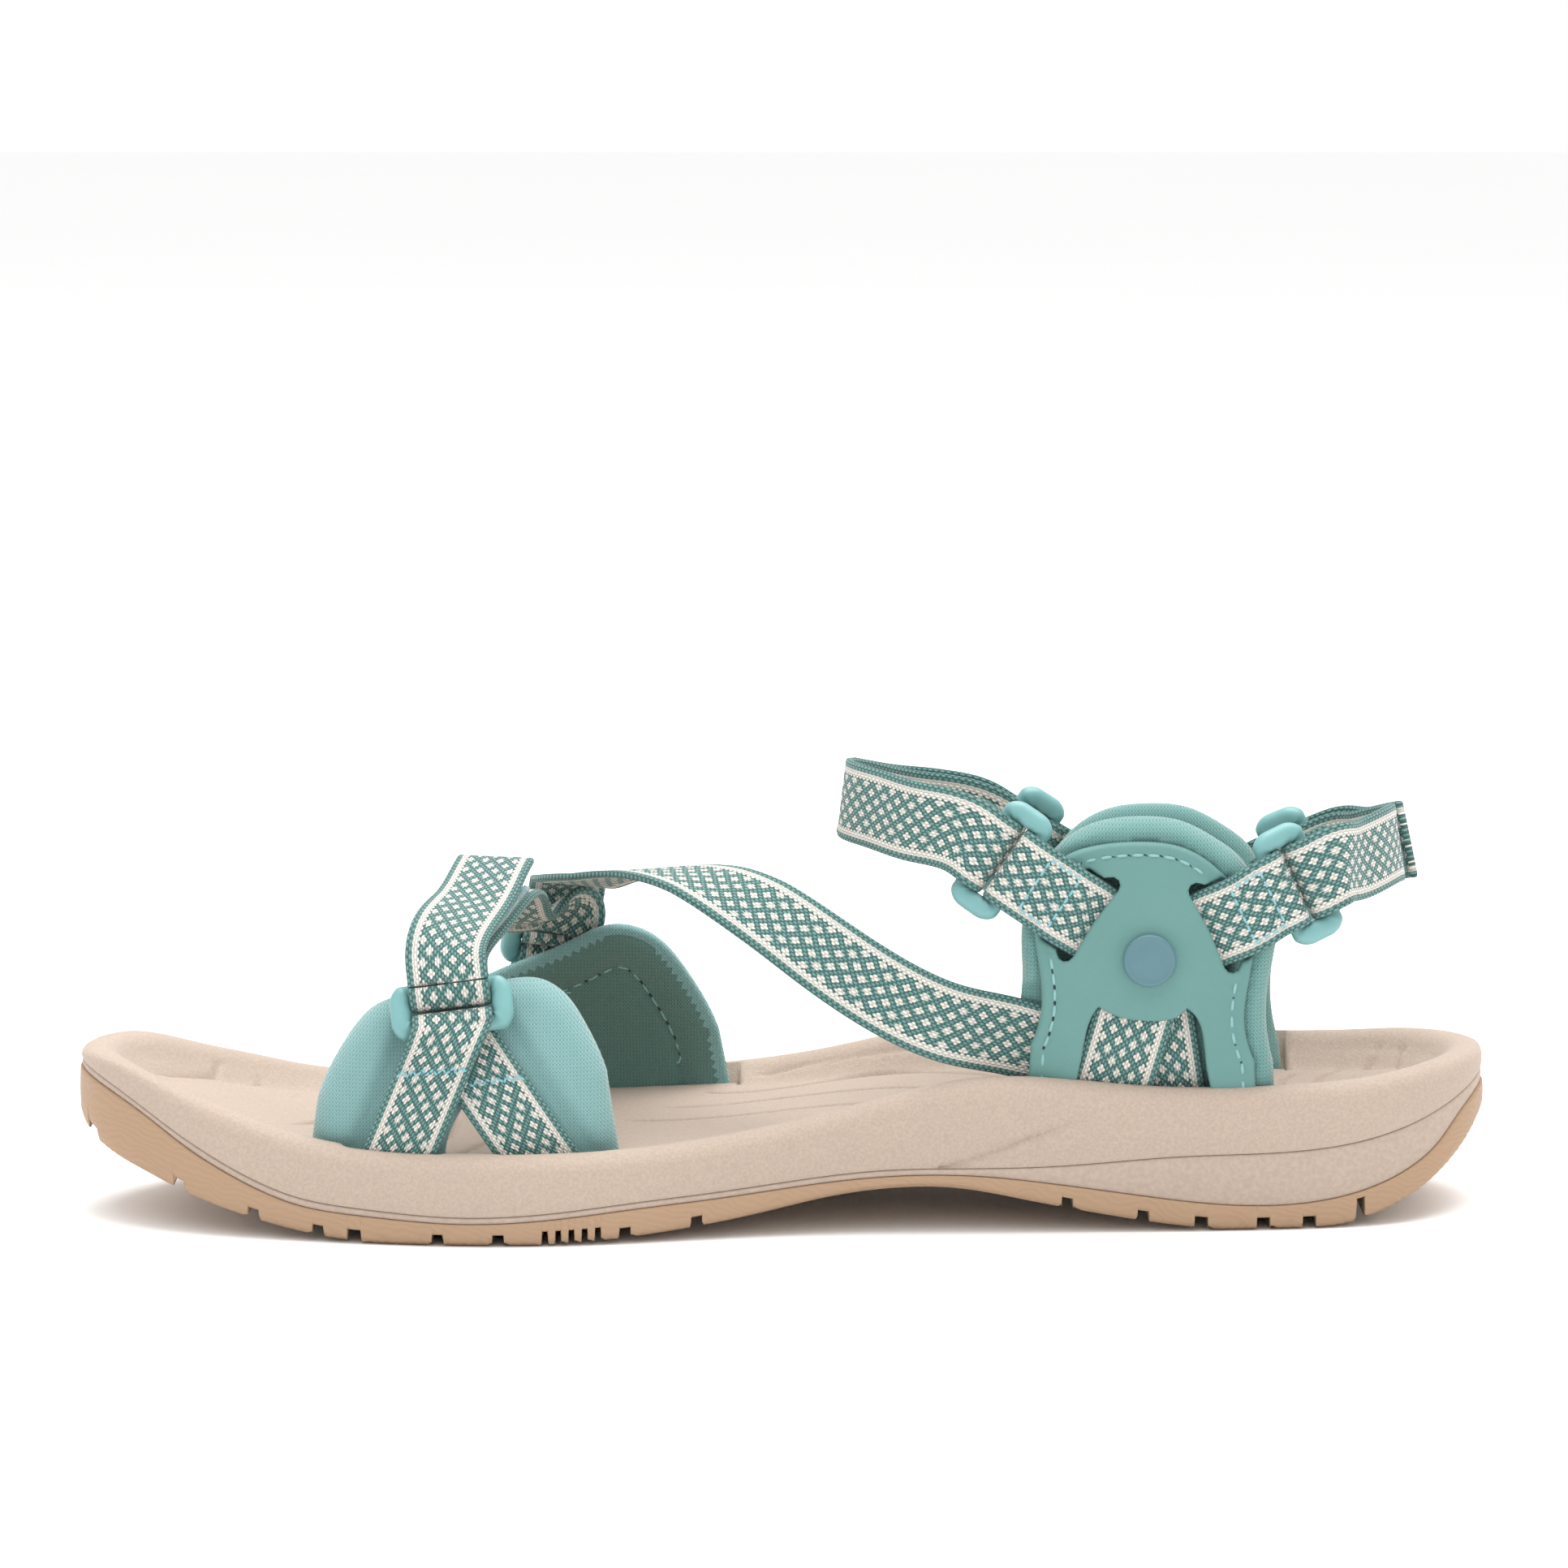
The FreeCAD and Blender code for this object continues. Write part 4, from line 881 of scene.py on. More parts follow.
def capped(verts, faces, first, ring2d, flat, tris, heights):
    """Adds a triangulated lid whose boundary vertices are the loop that starts at vertex first."""
    match = {}
    for i, (x, y) in enumerate(ring2d):
        match[(round(x, 3), round(y, 3))] = first + i
    numbers = []
    extra = []
    for (x, y), z in zip(flat, heights):
        key = (round(x, 3), round(y, 3))
        if key not in match:
            near = [(round(x + i * 0.001, 3), round(y + j * 0.001, 3)) for i in (-1, 0, 1) for j in (-1, 0, 1)]
            key = next((k for k in near if k in match), key)
        if key in match:
            numbers.append(match[key])
        else:
            numbers.append(len(verts) + len(extra))
            extra.append((x, y, z))
    faces = faces + [tuple(numbers[i] for i in t) for t in tris]
    return np.vstack([verts, extra]), faces


def lug_depth(x, y, grow=0.0):
    depth = np.zeros(len(x))
    for x0, x1, y0, y1, deep in LUGS + CHANNELS:
        hit = (x >= x0 - 1e-3) & (x <= x1 + 1e-3) & (y >= y0 - 1e-3) & (y <= y1 + 1e-3)
        depth = np.where(hit, np.maximum(depth, deep), depth)
    return depth


def underside(flat):
    x, y = flat[:, 0], flat[:, 1]
    gap = distance(flat, OUTLINE)
    edge = 0.7 * (1 - rounded(gap, 0.9))
    z = under(x) + np.maximum(lug_depth(x, y), edge)
    return np.minimum(z, OUTSOLE_TOP(x) - 0.7)


def outline_row(inset, z, base=None):
    loop, normal = (OUTLINE, INWARD) if base is None else base
    return np.column_stack([loop + normal * np.broadcast_to(inset, len(loop))[:, None],
                            np.broadcast_to(z, len(loop))])


def outsole():
    x = OUTLINE[:, 0]
    low = underside(OUTLINE)
    top = OUTSOLE_TOP(x)
    rows = [outline_row(-0.25, low)]
    for f in np.linspace(0, 1, 9)[1:]:
        rows.append(outline_row(-0.25 - 0.12 * math.sin(math.pi * f), low + (top - 0.35 - low) * f))
    rows += [outline_row(-0.15, top - 0.14), outline_row(0.05, top - 0.03), outline_row(0.35, top),
             outline_row(1.6, top - 0.02)]
    rows[0][:, :2] = OUTLINE
    verts, faces = stack(rows)
    edges = []
    for x0, x1, y0, y1, _ in LUGS + CHANNELS:
        for grow in (0, EDGE):
            corners = [(x0 - grow, max(y0 - grow, -70)), (x1 + grow, max(y0 - grow, -70)),
                       (x1 + grow, min(y1 + grow, 70)), (x0 - grow, min(y1 + grow, 70))]
            run = straight(corners, 4.0, True)
            edges.append((run, True))
    seeds = grid(OUTLINE, 2.6)
    near = distance(seeds, OUTLINE)
    seeds = seeds[inside(seeds, OUTLINE) & (near > 1.6)]
    rim = np.vstack([(OUTLINE + INWARD * g)[::3] for g in (0.3, 0.9)])
    clipped = []
    for run, _ in edges:
        low_y, high_y = run[:, 1].min(), run[:, 1].max()
        x_a, x_b = run[:, 0].min(), run[:, 0].max()
        for x_line in (x_a, x_b):
            ys = []
            for a, b in zip(OUTLINE, np.roll(OUTLINE, -1, axis=0)):
                if (a[0] - x_line) * (b[0] - x_line) < 0 or abs(a[0] - x_line) < 1e-7:
                    ys.append(a[1] if abs(a[0] - x_line) < 1e-7 else a[1] + (b[1] - a[1]) * (x_line - a[0]) / (b[0] - a[0]))
            if len(ys) < 2:
                continue
            bottom, high = max(low_y, min(ys)), min(high_y, max(ys))
            if high - bottom > 0.5:
                clipped.append((straight([(x_line, bottom), (x_line, high)], 3.0), False))
        for y_line in (low_y, high_y):
            ends = [(x_a, y_line), (x_b, y_line)]
            if inside(ends, OUTLINE).all():
                clipped.append((straight(ends, 3.0), False))
    flat, tris = triangulate([OUTLINE], np.vstack([seeds, rim]), clipped)
    verts, faces = capped(verts, faces, 0, OUTLINE, flat, tris, underside(flat))
    last = len(rows) - 1
    faces.append(tuple(last * len(OUTLINE) + i for i in range(len(OUTLINE))))
    piece("sole_outsole", verts, faces, "gum_rubber", "gum_rubber", nodes=("outsole",))


def midsole():
    x = fine[:, 0]
    low, top = OUTSOLE_TOP(x) + 0.02, MIDSOLE_TOP(x)
    deep = np.maximum(top - low, 0.8)
    top = low + deep
    lip = np.minimum(0.4, deep * 0.25)
    rows = [outline_row(2.2, low, FOAM), outline_row(0.55, low, FOAM), outline_row(0.28, low + lip * 0.3, FOAM),
            outline_row(0.2, low + lip, FOAM)]
    for f in np.linspace(0, 1, 9)[1:-1]:
        belly = 0.2 - 0.45 * np.sin(math.pi * f) * np.minimum(deep / 9, 1)
        rows.append(outline_row(belly, low + lip + (deep - 2 * lip) * f, FOAM))
    rows += [outline_row(0.2, top - lip, FOAM), outline_row(0.3, top - lip * 0.3, FOAM), outline_row(0.6, top, FOAM),
             outline_row(2.2, top, FOAM)]
    verts, faces = stack(rows)
    count = len(fine)
    faces.append(tuple(range(count)))
    faces.append(tuple((len(rows) - 1) * count + i for i in range(count)))
    piece("sole_midsole", verts, faces, "eva_smooth", "eva_smooth", nodes=("midsole",))


CREASE = sampled([(22, 11.2), (32, 13.2), (40, 15.9), (48, 18.9), (56.5, 21.6)], 0.8)


def crease(x, z):
    """Relief of the arch crease on the side wall: a groove that fades out, with a softer panel below it."""
    flat = np.column_stack([x, z])
    gap = distance(flat, CREASE, False)
    fade = smooth(x, 18, 30) * (1 - smooth(x, 46, 57))
    line_z = np.interp(x, CREASE[:, 0], CREASE[:, 1])
    below = (z < line_z) & (x > 22)
    shelf = np.where(below, np.exp(-gap / 3.2), 0) * 0.55 * smooth(x, 20, 30) * (1 - smooth(x, 44, 60))
    return 0.38 * np.exp(-(gap / 0.55) ** 2) * fade + shelf


# Debossed lines of the footbed, in plan.
HOOK = [(-117.4, -7.4), (-116.6, -3.4), (-114.3, 1.2), (-111.2, 5.6), (-107.9, 10.2)]
WAVES = []
for k in range(8):
    shift = np.array([7.65, -4.6 if k < 3 else -3.2]) * k + np.array([0, -4.2 if k >= 3 else 0])
    stretch = 1 + 0.12 * k
    bend = [np.array([HOOK[-1][0] + (px - HOOK[-1][0]) * 1.0, HOOK[-1][1] + (py - HOOK[-1][1]) * stretch]) + shift
            for px, py in HOOK]
    corner = bend[-1]
    WAVES.append(np.vstack([sampled(bend, 0.7), straight([corner, corner + np.array([0.5, 11 + 1.6 * k])], 0.7)]))
WAVES.append(sampled([(-122.2, 9.0), (-119.6, 13.2), (-116.5, 16.6), (-113.6, 20.4)], 0.7))
WAVES.append(sampled([(-15, 27.5), (-14.4, 24.4), (-11, 22.2), (-3, 21.2), (6, 22.8), (15, 23.4), (25, 21.0),
                      (35, 15.5), (46, 7.5), (57, 2.0)], 0.7))
WAVES.append(sampled([(-6, 32.0), (0, 31.0), (7, 30.6), (16, 28.6), (27, 26.0), (37, 21.6), (46, 15.5)], 0.7))
WAVES.append(sampled([(-23, 12), (-15, 10.5), (-6, 10.8), (4, 11.4), (15, 10), (26, 5), (36, -2.5)], 0.7))
WAVES.append(sampled([(-30, 1), (-20, -1.5), (-8, -1.8), (4, -1.4), (16, -4.5), (27, -11)], 0.7))
for k in range(6):
    base = np.array([74.0 + 7.0 * k, 0.0])
    WAVES.append(sampled([base + np.array(p) for p in ((-1.5, -17), (3.0, -10), (5.5, 0), (6.5, 10), (11.5, 17.5))], 0.7))


def slot_outline(barrel, z, low, high, legs, free, inner=-4.9):
    """Slot in plan that hugs a panel and swells where the webbing legs go down beside it."""
    xs = np.arange(low, high + 0.01, 0.8)
    cover = np.zeros(len(xs))
    for centre, half in legs:
        cover = np.maximum(cover, 1 - smooth(np.abs(xs - centre), half, half + 1.4))
    out = free[0] + (free[1] - free[0]) * cover
    front = barrel.point(xs, z, out)[:, :2]
    rear = barrel.point(xs[::-1], z, inner)[:, :2]
    return np.vstack([front, rear])


SLOTS = [
    slot_outline(TOE["medial"], 15, -88.2, -28.8, [(-71.3, 8.6), (-42.2, 9.6)], (1.7, 4.0)),
    slot_outline(TOE["lateral"], 15, -76.3, -8.2, [(-58.4, 8.6), (-24.0, 9.6)], (1.7, 4.0)),
    slot_outline(QUARTER["medial"], 22, 42.2, 92.2, [], (5.0, 5.0), -3.5),
    slot_outline(QUARTER["lateral"], 22, 46.8, 96.8, [], (5.0, 5.0), -3.5),
    slot_outline(QUARTER["medial"], 22, 33.5, 42.0, [], (2.4, 2.4), -0.5),
]


def shrink(loop, gap):
    return loop + inward(loop) * gap


def bed(flat):
    """Height of the footbed surface: rounded rim, soft fall into the tray, debossed lines and slots."""
    x, y = flat[:, 0], flat[:, 1]
    gap = distance(flat, fine)
    rim = RIM_TOP(x)
    radius = shoulder(x)
    q = np.clip(gap / radius, 0, 1)
    round_off = radius * (1 - np.sqrt(np.maximum(1 - (1 - q) ** 2, 0)))
    s = smooth(gap, 4.2, 13.5)
    deep = (rim - 0.0) * (1 - s) + FOOT_TOP(x) * s
    z = deep - round_off
    z -= 0.4 * np.exp(-((gap - 8.2) / 0.6) ** 2) * (smooth(x, -112, -122) + smooth(x, 96, 108) + 0.55)
    crest = smooth(gap, 7.5, 9.5)
    for wave in WAVES:
        near = np.abs(x - wave[:, 0].mean()) < 60
        line = np.full(len(x), 9.0)
        line[near] = distance(flat[near], wave, False)
        run = np.minimum(distance(flat[near], wave[:1], True), distance(flat[near], wave[-1:], True))
        fade = np.ones(len(x))
        fade[near] = smooth(run, 0.0, 4.0) * 0.8 + 0.2
        z -= 0.8 * np.exp(-(line / 0.65) ** 2) * crest * fade
        z += 0.12 * np.exp(-((line - 1.2) / 0.6) ** 2) * crest * fade
    for slot in SLOTS:
        inner = shrink(slot, 0.25)
        deep_in = inside(flat, inner) | (distance(flat, inner) < 0.02)
        z = np.where(deep_in, z - 5.0, z)
    return z


def shoulder(x):
    return np.clip((RIM_TOP(x) - MIDSOLE_TOP(x)) * 0.42, 1.4, 3.6)


def footbed():
    x = fine[:, 0]
    radius = shoulder(x)
    low = MIDSOLE_TOP(x) + 0.02
    rim = RIM_TOP(x)
    high = rim - radius
    lip = 0.35
    rows = [outline_row(2.2, low, FOAM), outline_row(0.5, low, FOAM), outline_row(0.2, low + lip * 0.3, FOAM)]
    for f in np.linspace(0, 1, 24):
        z = low + lip + (high - low - lip) * f
        belly = -0.35 * math.sin(math.pi * f) * np.minimum((high - low) / 9, 1) + 0.05 * (1 - f)
        rows.append(outline_row(belly + crease(x, z), z, FOAM))
    for angle in (10, 20, 30, 40, 48):
        a = math.radians(angle)
        inset = radius * (1 - math.cos(a))
        z = high + radius * math.sin(a)
        rows.append(outline_row(inset + crease(x, z), z, FOAM))
    verts, faces = stack(rows)
    ring = rows[-1][:, :2]
    seeds = [grid(ring, 1.25)]
    for g in (1.6, 2.1, 2.7, 3.3, 4.0):
        seeds.append((fine + FOAM[1] * g)[::2])
    for wave in WAVES:
        along = unit(np.gradient(wave, axis=0))
        side = np.column_stack([-along[:, 1], along[:, 0]])
        for gap in (-1.1, -0.7, -0.35, 0.0, 0.35, 0.7, 1.1):
            seeds.append(wave + side * gap)
    seeds = np.vstack(seeds)
    keep = inside(seeds, ring) & (distance(seeds, ring) > 0.35)
    edges = []
    for slot in SLOTS:
        for chain in (slot, shrink(slot, 0.25)):
            edges.append((chain, True))
        keep &= distance(seeds, slot) > 0.45
    flat, tris = triangulate([ring], seeds[keep], edges)
    heights = bed(flat)
    verts, faces = capped(verts, faces, (len(rows) - 1) * len(fine), ring, flat, tris, heights)
    faces.append(tuple(range(len(fine))))
    piece("sole_footbed", verts, faces, "eva_stippled", "eva_stippled", nodes=("footbed",))


outsole()
midsole()
footbed()


# ---------------------------------------------------------------- toe pads, legs and their seams
MEDIAL_PAD = [(-85.5, 25), (-80.4, 35.5), (-75, 41.5), (-69, 43.6), (-60, 45.4), (-52, 46),
              (-45, 46.2), (-40.5, 43.8), (-36.5, 38.5), (-32.5, 30)]
LATERAL_PAD = [(-74, 22), (-69, 29), (-62, 34), (-52, 38.8), (-42, 43), (-33, 47), (-26, 45.6),
               (-18.5, 37.5), (-12.5, 26)]
TOE_BASE = 10.5


def leg_line(ring, foot):
    top = ring.point(0, FIXED_LOOP, ring.b)
    return np.array([(foot, TOE_BASE), (top[0], top[2])])


def toe_pad(side, outline, front_x, rear_x, notch, legs):
    left, right, top = notch
    middle = (left + right) / 2
    arch = sampled([(left, TOE_BASE), (left + 1.5, top - 4), (middle, top), (right - 1.5, top - 4),
                    (right, TOE_BASE)], 0.9)
    curve = sampled(outline, 0.9)
    loop = np.vstack([straight([(front_x, TOE_BASE), outline[0]], 0.9)[:-1], curve,
                      straight([outline[-1], (rear_x, TOE_BASE), (right, TOE_BASE)], 0.9)[1:-1], arch[::-1],
                      straight([(left, TOE_BASE), (front_x, TOE_BASE)], 0.9)[1:-1]])
    edge = np.vstack([[(front_x, TOE_BASE)], curve, [(rear_x, TOE_BASE)]])

    def front(gap, outer, x, z):
        flat = np.column_stack([x, z])
        free = np.ones(len(x))
        for leg in legs:
            free = np.minimum(free, smooth(distance(flat, leg, False), 7.6, 10.2))
        puff = 1.25 * free * smooth(z, 14, 20)
        dimple = 0.25 * (1 - smooth(distance(flat, RING_HOLE[side], False), 6, 9))
        return -2.25 + (2.25 + puff - dimple) * rounded(gap, 3.6)

    def back(gap, outer, x, z):
        inset = distance(np.column_stack([x, z]), edge, False)
        seam = 0.75 * np.exp(-((inset - 8.8) / 0.7) ** 2) * smooth(gap, 1.5, 3)
        bind = 0.35 * np.exp(-((inset - 1.9) / 0.4) ** 2)
        swell = 0.5 * np.exp(-((inset - 5.2) / 2.4) ** 2) * smooth(gap, 0.6, 2.5)
        return -2.25 - (2.25 + swell - seam - bind) * rounded(gap, 3.2)

    pad = panel("pad_toe_" + side, TOE[side], [loop], front, back, "knit_pad", "knit_pad",
                behind="knit_inner", nodes=("toe_pad_" + side,))
    inner = shrink(loop, 8.8)
    keep = (distance(inner, loop) > 8.4) & (inner[:, 1] > TOE_BASE + 6)
    seam = inner[keep]
    if len(seam) > 6:
        seam = sampled(seam[::5], 1.0)
        path = TOE[side].point(seam[:, 0], seam[:, 1], -4.0)
        stitches("pad_toe_%s_seam" % side, path, -TOE[side].normal(seam[:, 0], seam[:, 1]), dash=2.3, gap=0.9,
                 radius=0.2, slot="knit_pad")
    return pad


RING_HOLE = {side: np.array([RINGS["toe_" + side].b[[0, 2]] - RINGS["toe_" + side].w[[0, 2]] * 7,
                             RINGS["toe_" + side].b[[0, 2]] + RINGS["toe_" + side].w[[0, 2]] * 7])
             for side in ("medial", "lateral")}


def toe_legs(side, front_foot, rear_foot):
    barrel, ring = TOE[side], RINGS["toe_" + side]
    top = ring.point(0, FIXED_LOOP, ring.b)
    reach = (top[0] - front_foot) / (top[2] - TOE_BASE)
    places = [(front_foot + reach * (z - TOE_BASE), z, off)
              for z, off in ((TOE_BASE - 6, 2.4), (17, 2.6), (24, 3.0), (top[2] - 7, 5.0), (top[2] - 3.3, 6.75))]
    points = [barrel.point(*p) for p in places] + [top]
    normals = [barrel.normal(*p) for p in places] + [ring.n]
    front = stations_through(points, normals)[:-1]
    turn = ring.arc(ring.b, FIXED_LOOP, 90, -84, 1)
    crown = [0.25] * (len(front) - 7) + [0.2, 0.15, 0.1, 0.05, 0.03, 0.0, 0.0] + [0.0] * len(turn)
    ribbon("leg_toe_%s_front" % side, front + turn, crown=crown, bar=ring.w, cut_low=TOE_BASE,
           nodes=("toe_webbing_%s_front" % side,))
    end = ring.point(-0.4, -FIXED_LOOP - 0.15, ring.b)
    reach = (end[0] - rear_foot) / (end[2] - TOE_BASE)
    places = [(rear_foot + reach * (z - TOE_BASE), z, 1.2) for z in (TOE_BASE - 6, 20, 29)]
    rear = stations_through([barrel.point(*p) for p in places] + [end],
                            [barrel.normal(*p) for p in places] + [ring.n])
    ribbon("leg_toe_%s_rear" % side, rear, crown=[0.2] * len(rear), bar=ring.w, cut_low=TOE_BASE,
           nodes=("toe_webbing_%s_rear" % side,))
    for name, strip, height in (("front", front, 31.0), ("rear", rear, 29.0)):
        points, along, across, up = frames(strip)
        k = int(np.argmin(np.abs(points[:, 2] - height)))
        half = ring.w - up[k] * up[k].dot(ring.w)
        half = unit(half)
        row = []
        for i, f in enumerate(np.linspace(-6.6, 6.6, 15)):
            row.append(points[k] + half * f + along[k] * (0.55 if i % 2 else -0.55) + up[k] * 0.72)
        stitches("bartack_toe_%s_%s" % (side, name), row, [up[k]] * len(row), dash=1.05, gap=0.08, radius=0.2,
                 paint="thread_blue", hole=False, slot="webbing")


LEGS = {"medial": (-72.5, -41.5), "lateral": (-59, -23)}
for side, outline, front_x, rear_x, notch in (("medial", MEDIAL_PAD, -87.5, -29.5, (-61.5, -51, 25.5)),
                                               ("lateral", LATERAL_PAD, -75.5, -9.5, (-47.5, -37, 25.5))):
    ring = RINGS["toe_" + side]
    toe_pad(side, outline, front_x, rear_x, notch, [leg_line(ring, foot) for foot in LEGS[side]])
    toe_legs(side, *LEGS[side])


# ---------------------------------------------------------------- rings
def ring_piece(ring):
    """Moulded ring: slim bars, and thicker rounded ends that stand proud of the webbing."""
    half, deep, corner = 9.3, 3.7, 2.1
    path = []
    for cx, cy, start in ((half - corner, deep - corner, 0), (corner - half, deep - corner, 90),
                          (corner - half, corner - deep, 180), (half - corner, corner - deep, 270)):
        for a in np.linspace(start, start + 90, 13):
            path.append((cx + corner * math.cos(math.radians(a)), cy + corner * math.sin(math.radians(a))))
    path = straight(path, 0.6, True)
    tangent = unit(np.roll(path, -1, axis=0) - np.roll(path, 1, axis=0))
    outward = np.column_stack([tangent[:, 1], -tangent[:, 0]])
    verts, faces = [], []
    sides = 20
    for (x, y), (ox, oy) in zip(path, outward):
        end = float(smooth(abs(x), 7.5, 8.6))
        radial = 1.4 + 0.55 * end
        high = 1.4 + 0.45 * end
        for q in np.linspace(0, 2 * math.pi, sides, endpoint=False):
            c, s = math.cos(q), math.sin(q)
            c = math.copysign(abs(c) ** 0.85, c)
            s = math.copysign(abs(s) ** 0.85, s)
            spot = ring.centre + ring.w * (x + ox * c * radial) + ring.t * (y + oy * c * radial) + ring.n * s * high
            verts.append(spot)
    count = len(path)
    for i in range(count):
        for q in range(sides):
            w, j = (q + 1) % sides, (i + 1) % count
            faces.append((i * sides + q, i * sides + w, j * sides + w, j * sides + q))
    piece(ring.node.replace("_ring", "_moulded_ring"), verts, faces, "ring_plastic", "ring_plastic",
          body=ring.node, nodes=(ring.node,))


for ring in RINGS.values():
    ring_piece(ring)


# ---------------------------------------------------------------- straps between rings
def wrap(ring, start, end):
    return ring.arc(ring.a, FREE_LOOP, start, end, -1)


def fibres(name, stations, body, sign, paint, height=0.7, spread=5.8, count=900):
    """Short curved hooks or pile standing on a patch."""
    points, along, across, up = frames(stations)
    verts, faces = [], []
    for _ in range(count):
        s = rng.uniform(0, len(points) - 1.001)
        k = int(s)
        f = s - k
        base = points[k] * (1 - f) + points[k + 1] * f + across[k] * rng.uniform(-spread, spread)
        lean = along[k] * rng.uniform(-0.45, 0.45) + across[k] * rng.uniform(-0.45, 0.45)
        tall = height * rng.uniform(0.6, 1.15)
        first = len(verts)
        for share, fat in ((0.0, 0.09), (0.6, 0.07)):
            here = base + up[k] * sign * tall * share + lean * tall * share ** 2
            for q in (0, 2.1, 4.2):
                verts.append(here + along[k] * math.cos(q) * fat + across[k] * math.sin(q) * fat)
        verts.append(base + up[k] * sign * tall + lean * tall)
        for q in range(3):
            w = (q + 1) % 3
            faces.append((first + q, first + w, first + 3 + w, first + 3 + q))
            faces.append((first + 3 + q, first + 3 + w, first + 6))
        faces.append((first, first + 1, first + 2))
    piece(name, verts, faces, paint, paint, body=body, flat=True)


def tail_and_patches(name, ring, base, low, high, tip_lift=0.0):
    """Free end folded back over the strap: bent tape, hook patch under it, loop patch on the strap."""
    gap, patch = 0.2, 1.0
    out = THICK / 2 + gap / 2 + patch / 2
    lift = 2 * out + patch + 0.3
    points = [ring.point(0.25, FREE_LOOP, ring.a), ring.point(2.2, FREE_LOOP + 0.02, ring.a),
              ring.point(5, FREE_LOOP - 0.4, ring.a)]
    normals = [ring.n, ring.n, ring.n]
    rest = shifted(between(base, low, high), lift)[::3]
    for i, (point, normal) in enumerate(rest):
        share = i / (len(rest) - 1)
        points.append(point + normal * (tip_lift * share ** 2))
        normals.append(normal)
    tail = stations_through(points, normals)
    body = name + "_tail"
    loop = ribbon("strap_%s_tail" % name, wrap(ring, 200, 92) + tail, nodes=(name + "_strap_tail",), ride=False,
                  wave=0.05)
    hinge = ring.point(0, FREE_LOOP + THICK / 2, ring.a)
    tuple(hinge * MM)
    tuple((hinge + ring.t * 4.0) * MM)
    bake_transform(loop)
    reach = run_of(tail)[-1]
    hook = between(shifted(tail, -out), 11.5, reach - 2.5)
    ribbon("hook_%s" % name, hook, "hook_tape", "hook_tape", patch, WIDTH - 2.4, body=body,
           nodes=(name + "_hook_patch",))
    fibres("hooks_%s" % name, shifted(hook, -patch / 2), body, -1, "hook_tape", height=0.4)
    pile = between(shifted(between(base, low, high), out), 0, 60)
    ribbon("loop_%s" % name, pile, "loop_tape", "loop_tape", patch, WIDTH - 2.4, nodes=(name + "_loop_patch",))
    fibres("pile_%s" % name, shifted(pile, patch / 2), "sandal", 1, "loop_tape", height=0.35)


lateral = RINGS["toe_lateral"]
quarter_medial = QUARTER["medial"]
instep_points = [quarter_medial.point(55, 32.2, 0.95), quarter_medial.point(48, 33.6, 0.95),
                 quarter_medial.point(41.5, 35.1, 1.2), (30.4, -29.5, 38), (21.4, -30.2, 42),
                 (8, -28.4, 50.3), (-3.9, -23, 57.9), (-15.9, -13.5, 62.3), (-26, -2, 61.8),
                 (-34.5, 9, 59), (-40, 20, 56.7), lateral.point(6, FREE_LOOP + 0.6, lateral.a),
                 lateral.point(0, FREE_LOOP, lateral.a)]
instep_normals = [(-0.09, -1, -0.12), (-0.14, -1, -0.1), (-0.15, -1, 0), (0.05, -1, 0.12), (0, -1, 0.2),
                  (0.05, -0.95, 0.35), (0.1, -0.8, 0.6), (0.2, -0.45, 0.87), (0.1, -0.05, 1),
                  (-0.05, 0.3, 0.95), (-0.05, 0.6, 0.8), lateral.n, lateral.n]
instep = stations_through(instep_points, instep_normals) + lateral.arc(lateral.a, FREE_LOOP, 96, 265, 1)
ribbon("strap_instep", instep, cut_low=18.0, wave=0.05, nodes=("instep_strap",))

ring = RINGS["toe_medial"]
toe_points = [ring.point(0, -FREE_LOOP, ring.a), ring.point(6, -FREE_LOOP, ring.a), (-57.8, -17.5, 55.0),
              (-54.5, -6, 57.3), (-52, 6, 56.2), (-49.5, 18, 49.4), lateral.point(6.5, -FREE_LOOP - 0.8, lateral.a),
              lateral.point(0.9, -FREE_LOOP, lateral.a)]
toe_normals = [ring.n, ring.n, (0, -0.4, 0.9), (0, -0.08, 1), (0, 0.12, 1), (0, 0.45, 0.9), lateral.n, lateral.n]
toe_base = stations_through(toe_points, toe_normals)
ribbon("strap_toe", list(reversed(wrap(ring, 265, 204))) + toe_base, wave=0.04, nodes=("toe_strap",))
tail_and_patches("toe", ring, toe_base, 14, 38.5, 3.0)


def cuff(name, start, end, points, normals, low, high):
    sewn = [(start.point(along, out, start.a), start.n * -1)
            for along, out in ((6.5, -2.2), (4.5, -2.6), (2.5, -2.85))]
    loop = sewn + start.arc(start.a, FREE_LOOP, 265, 95, 1)
    first = [start.point(0, FREE_LOOP, start.a), start.point(4, FREE_LOOP - 0.3, start.a)]
    last = [end.point(6, -FREE_LOOP + 0.1, end.a), end.point(0, -FREE_LOOP, end.a)]
    middle = stations_through(first + points + last, [start.n] * 2 + normals + [end.n] * 2)
    ribbon("strap_" + name, loop + middle + wrap(end, 265, 204), wave=0.05, nodes=(name + "_strap",))
    tail_and_patches(name, end, list(reversed(middle)), low, high)


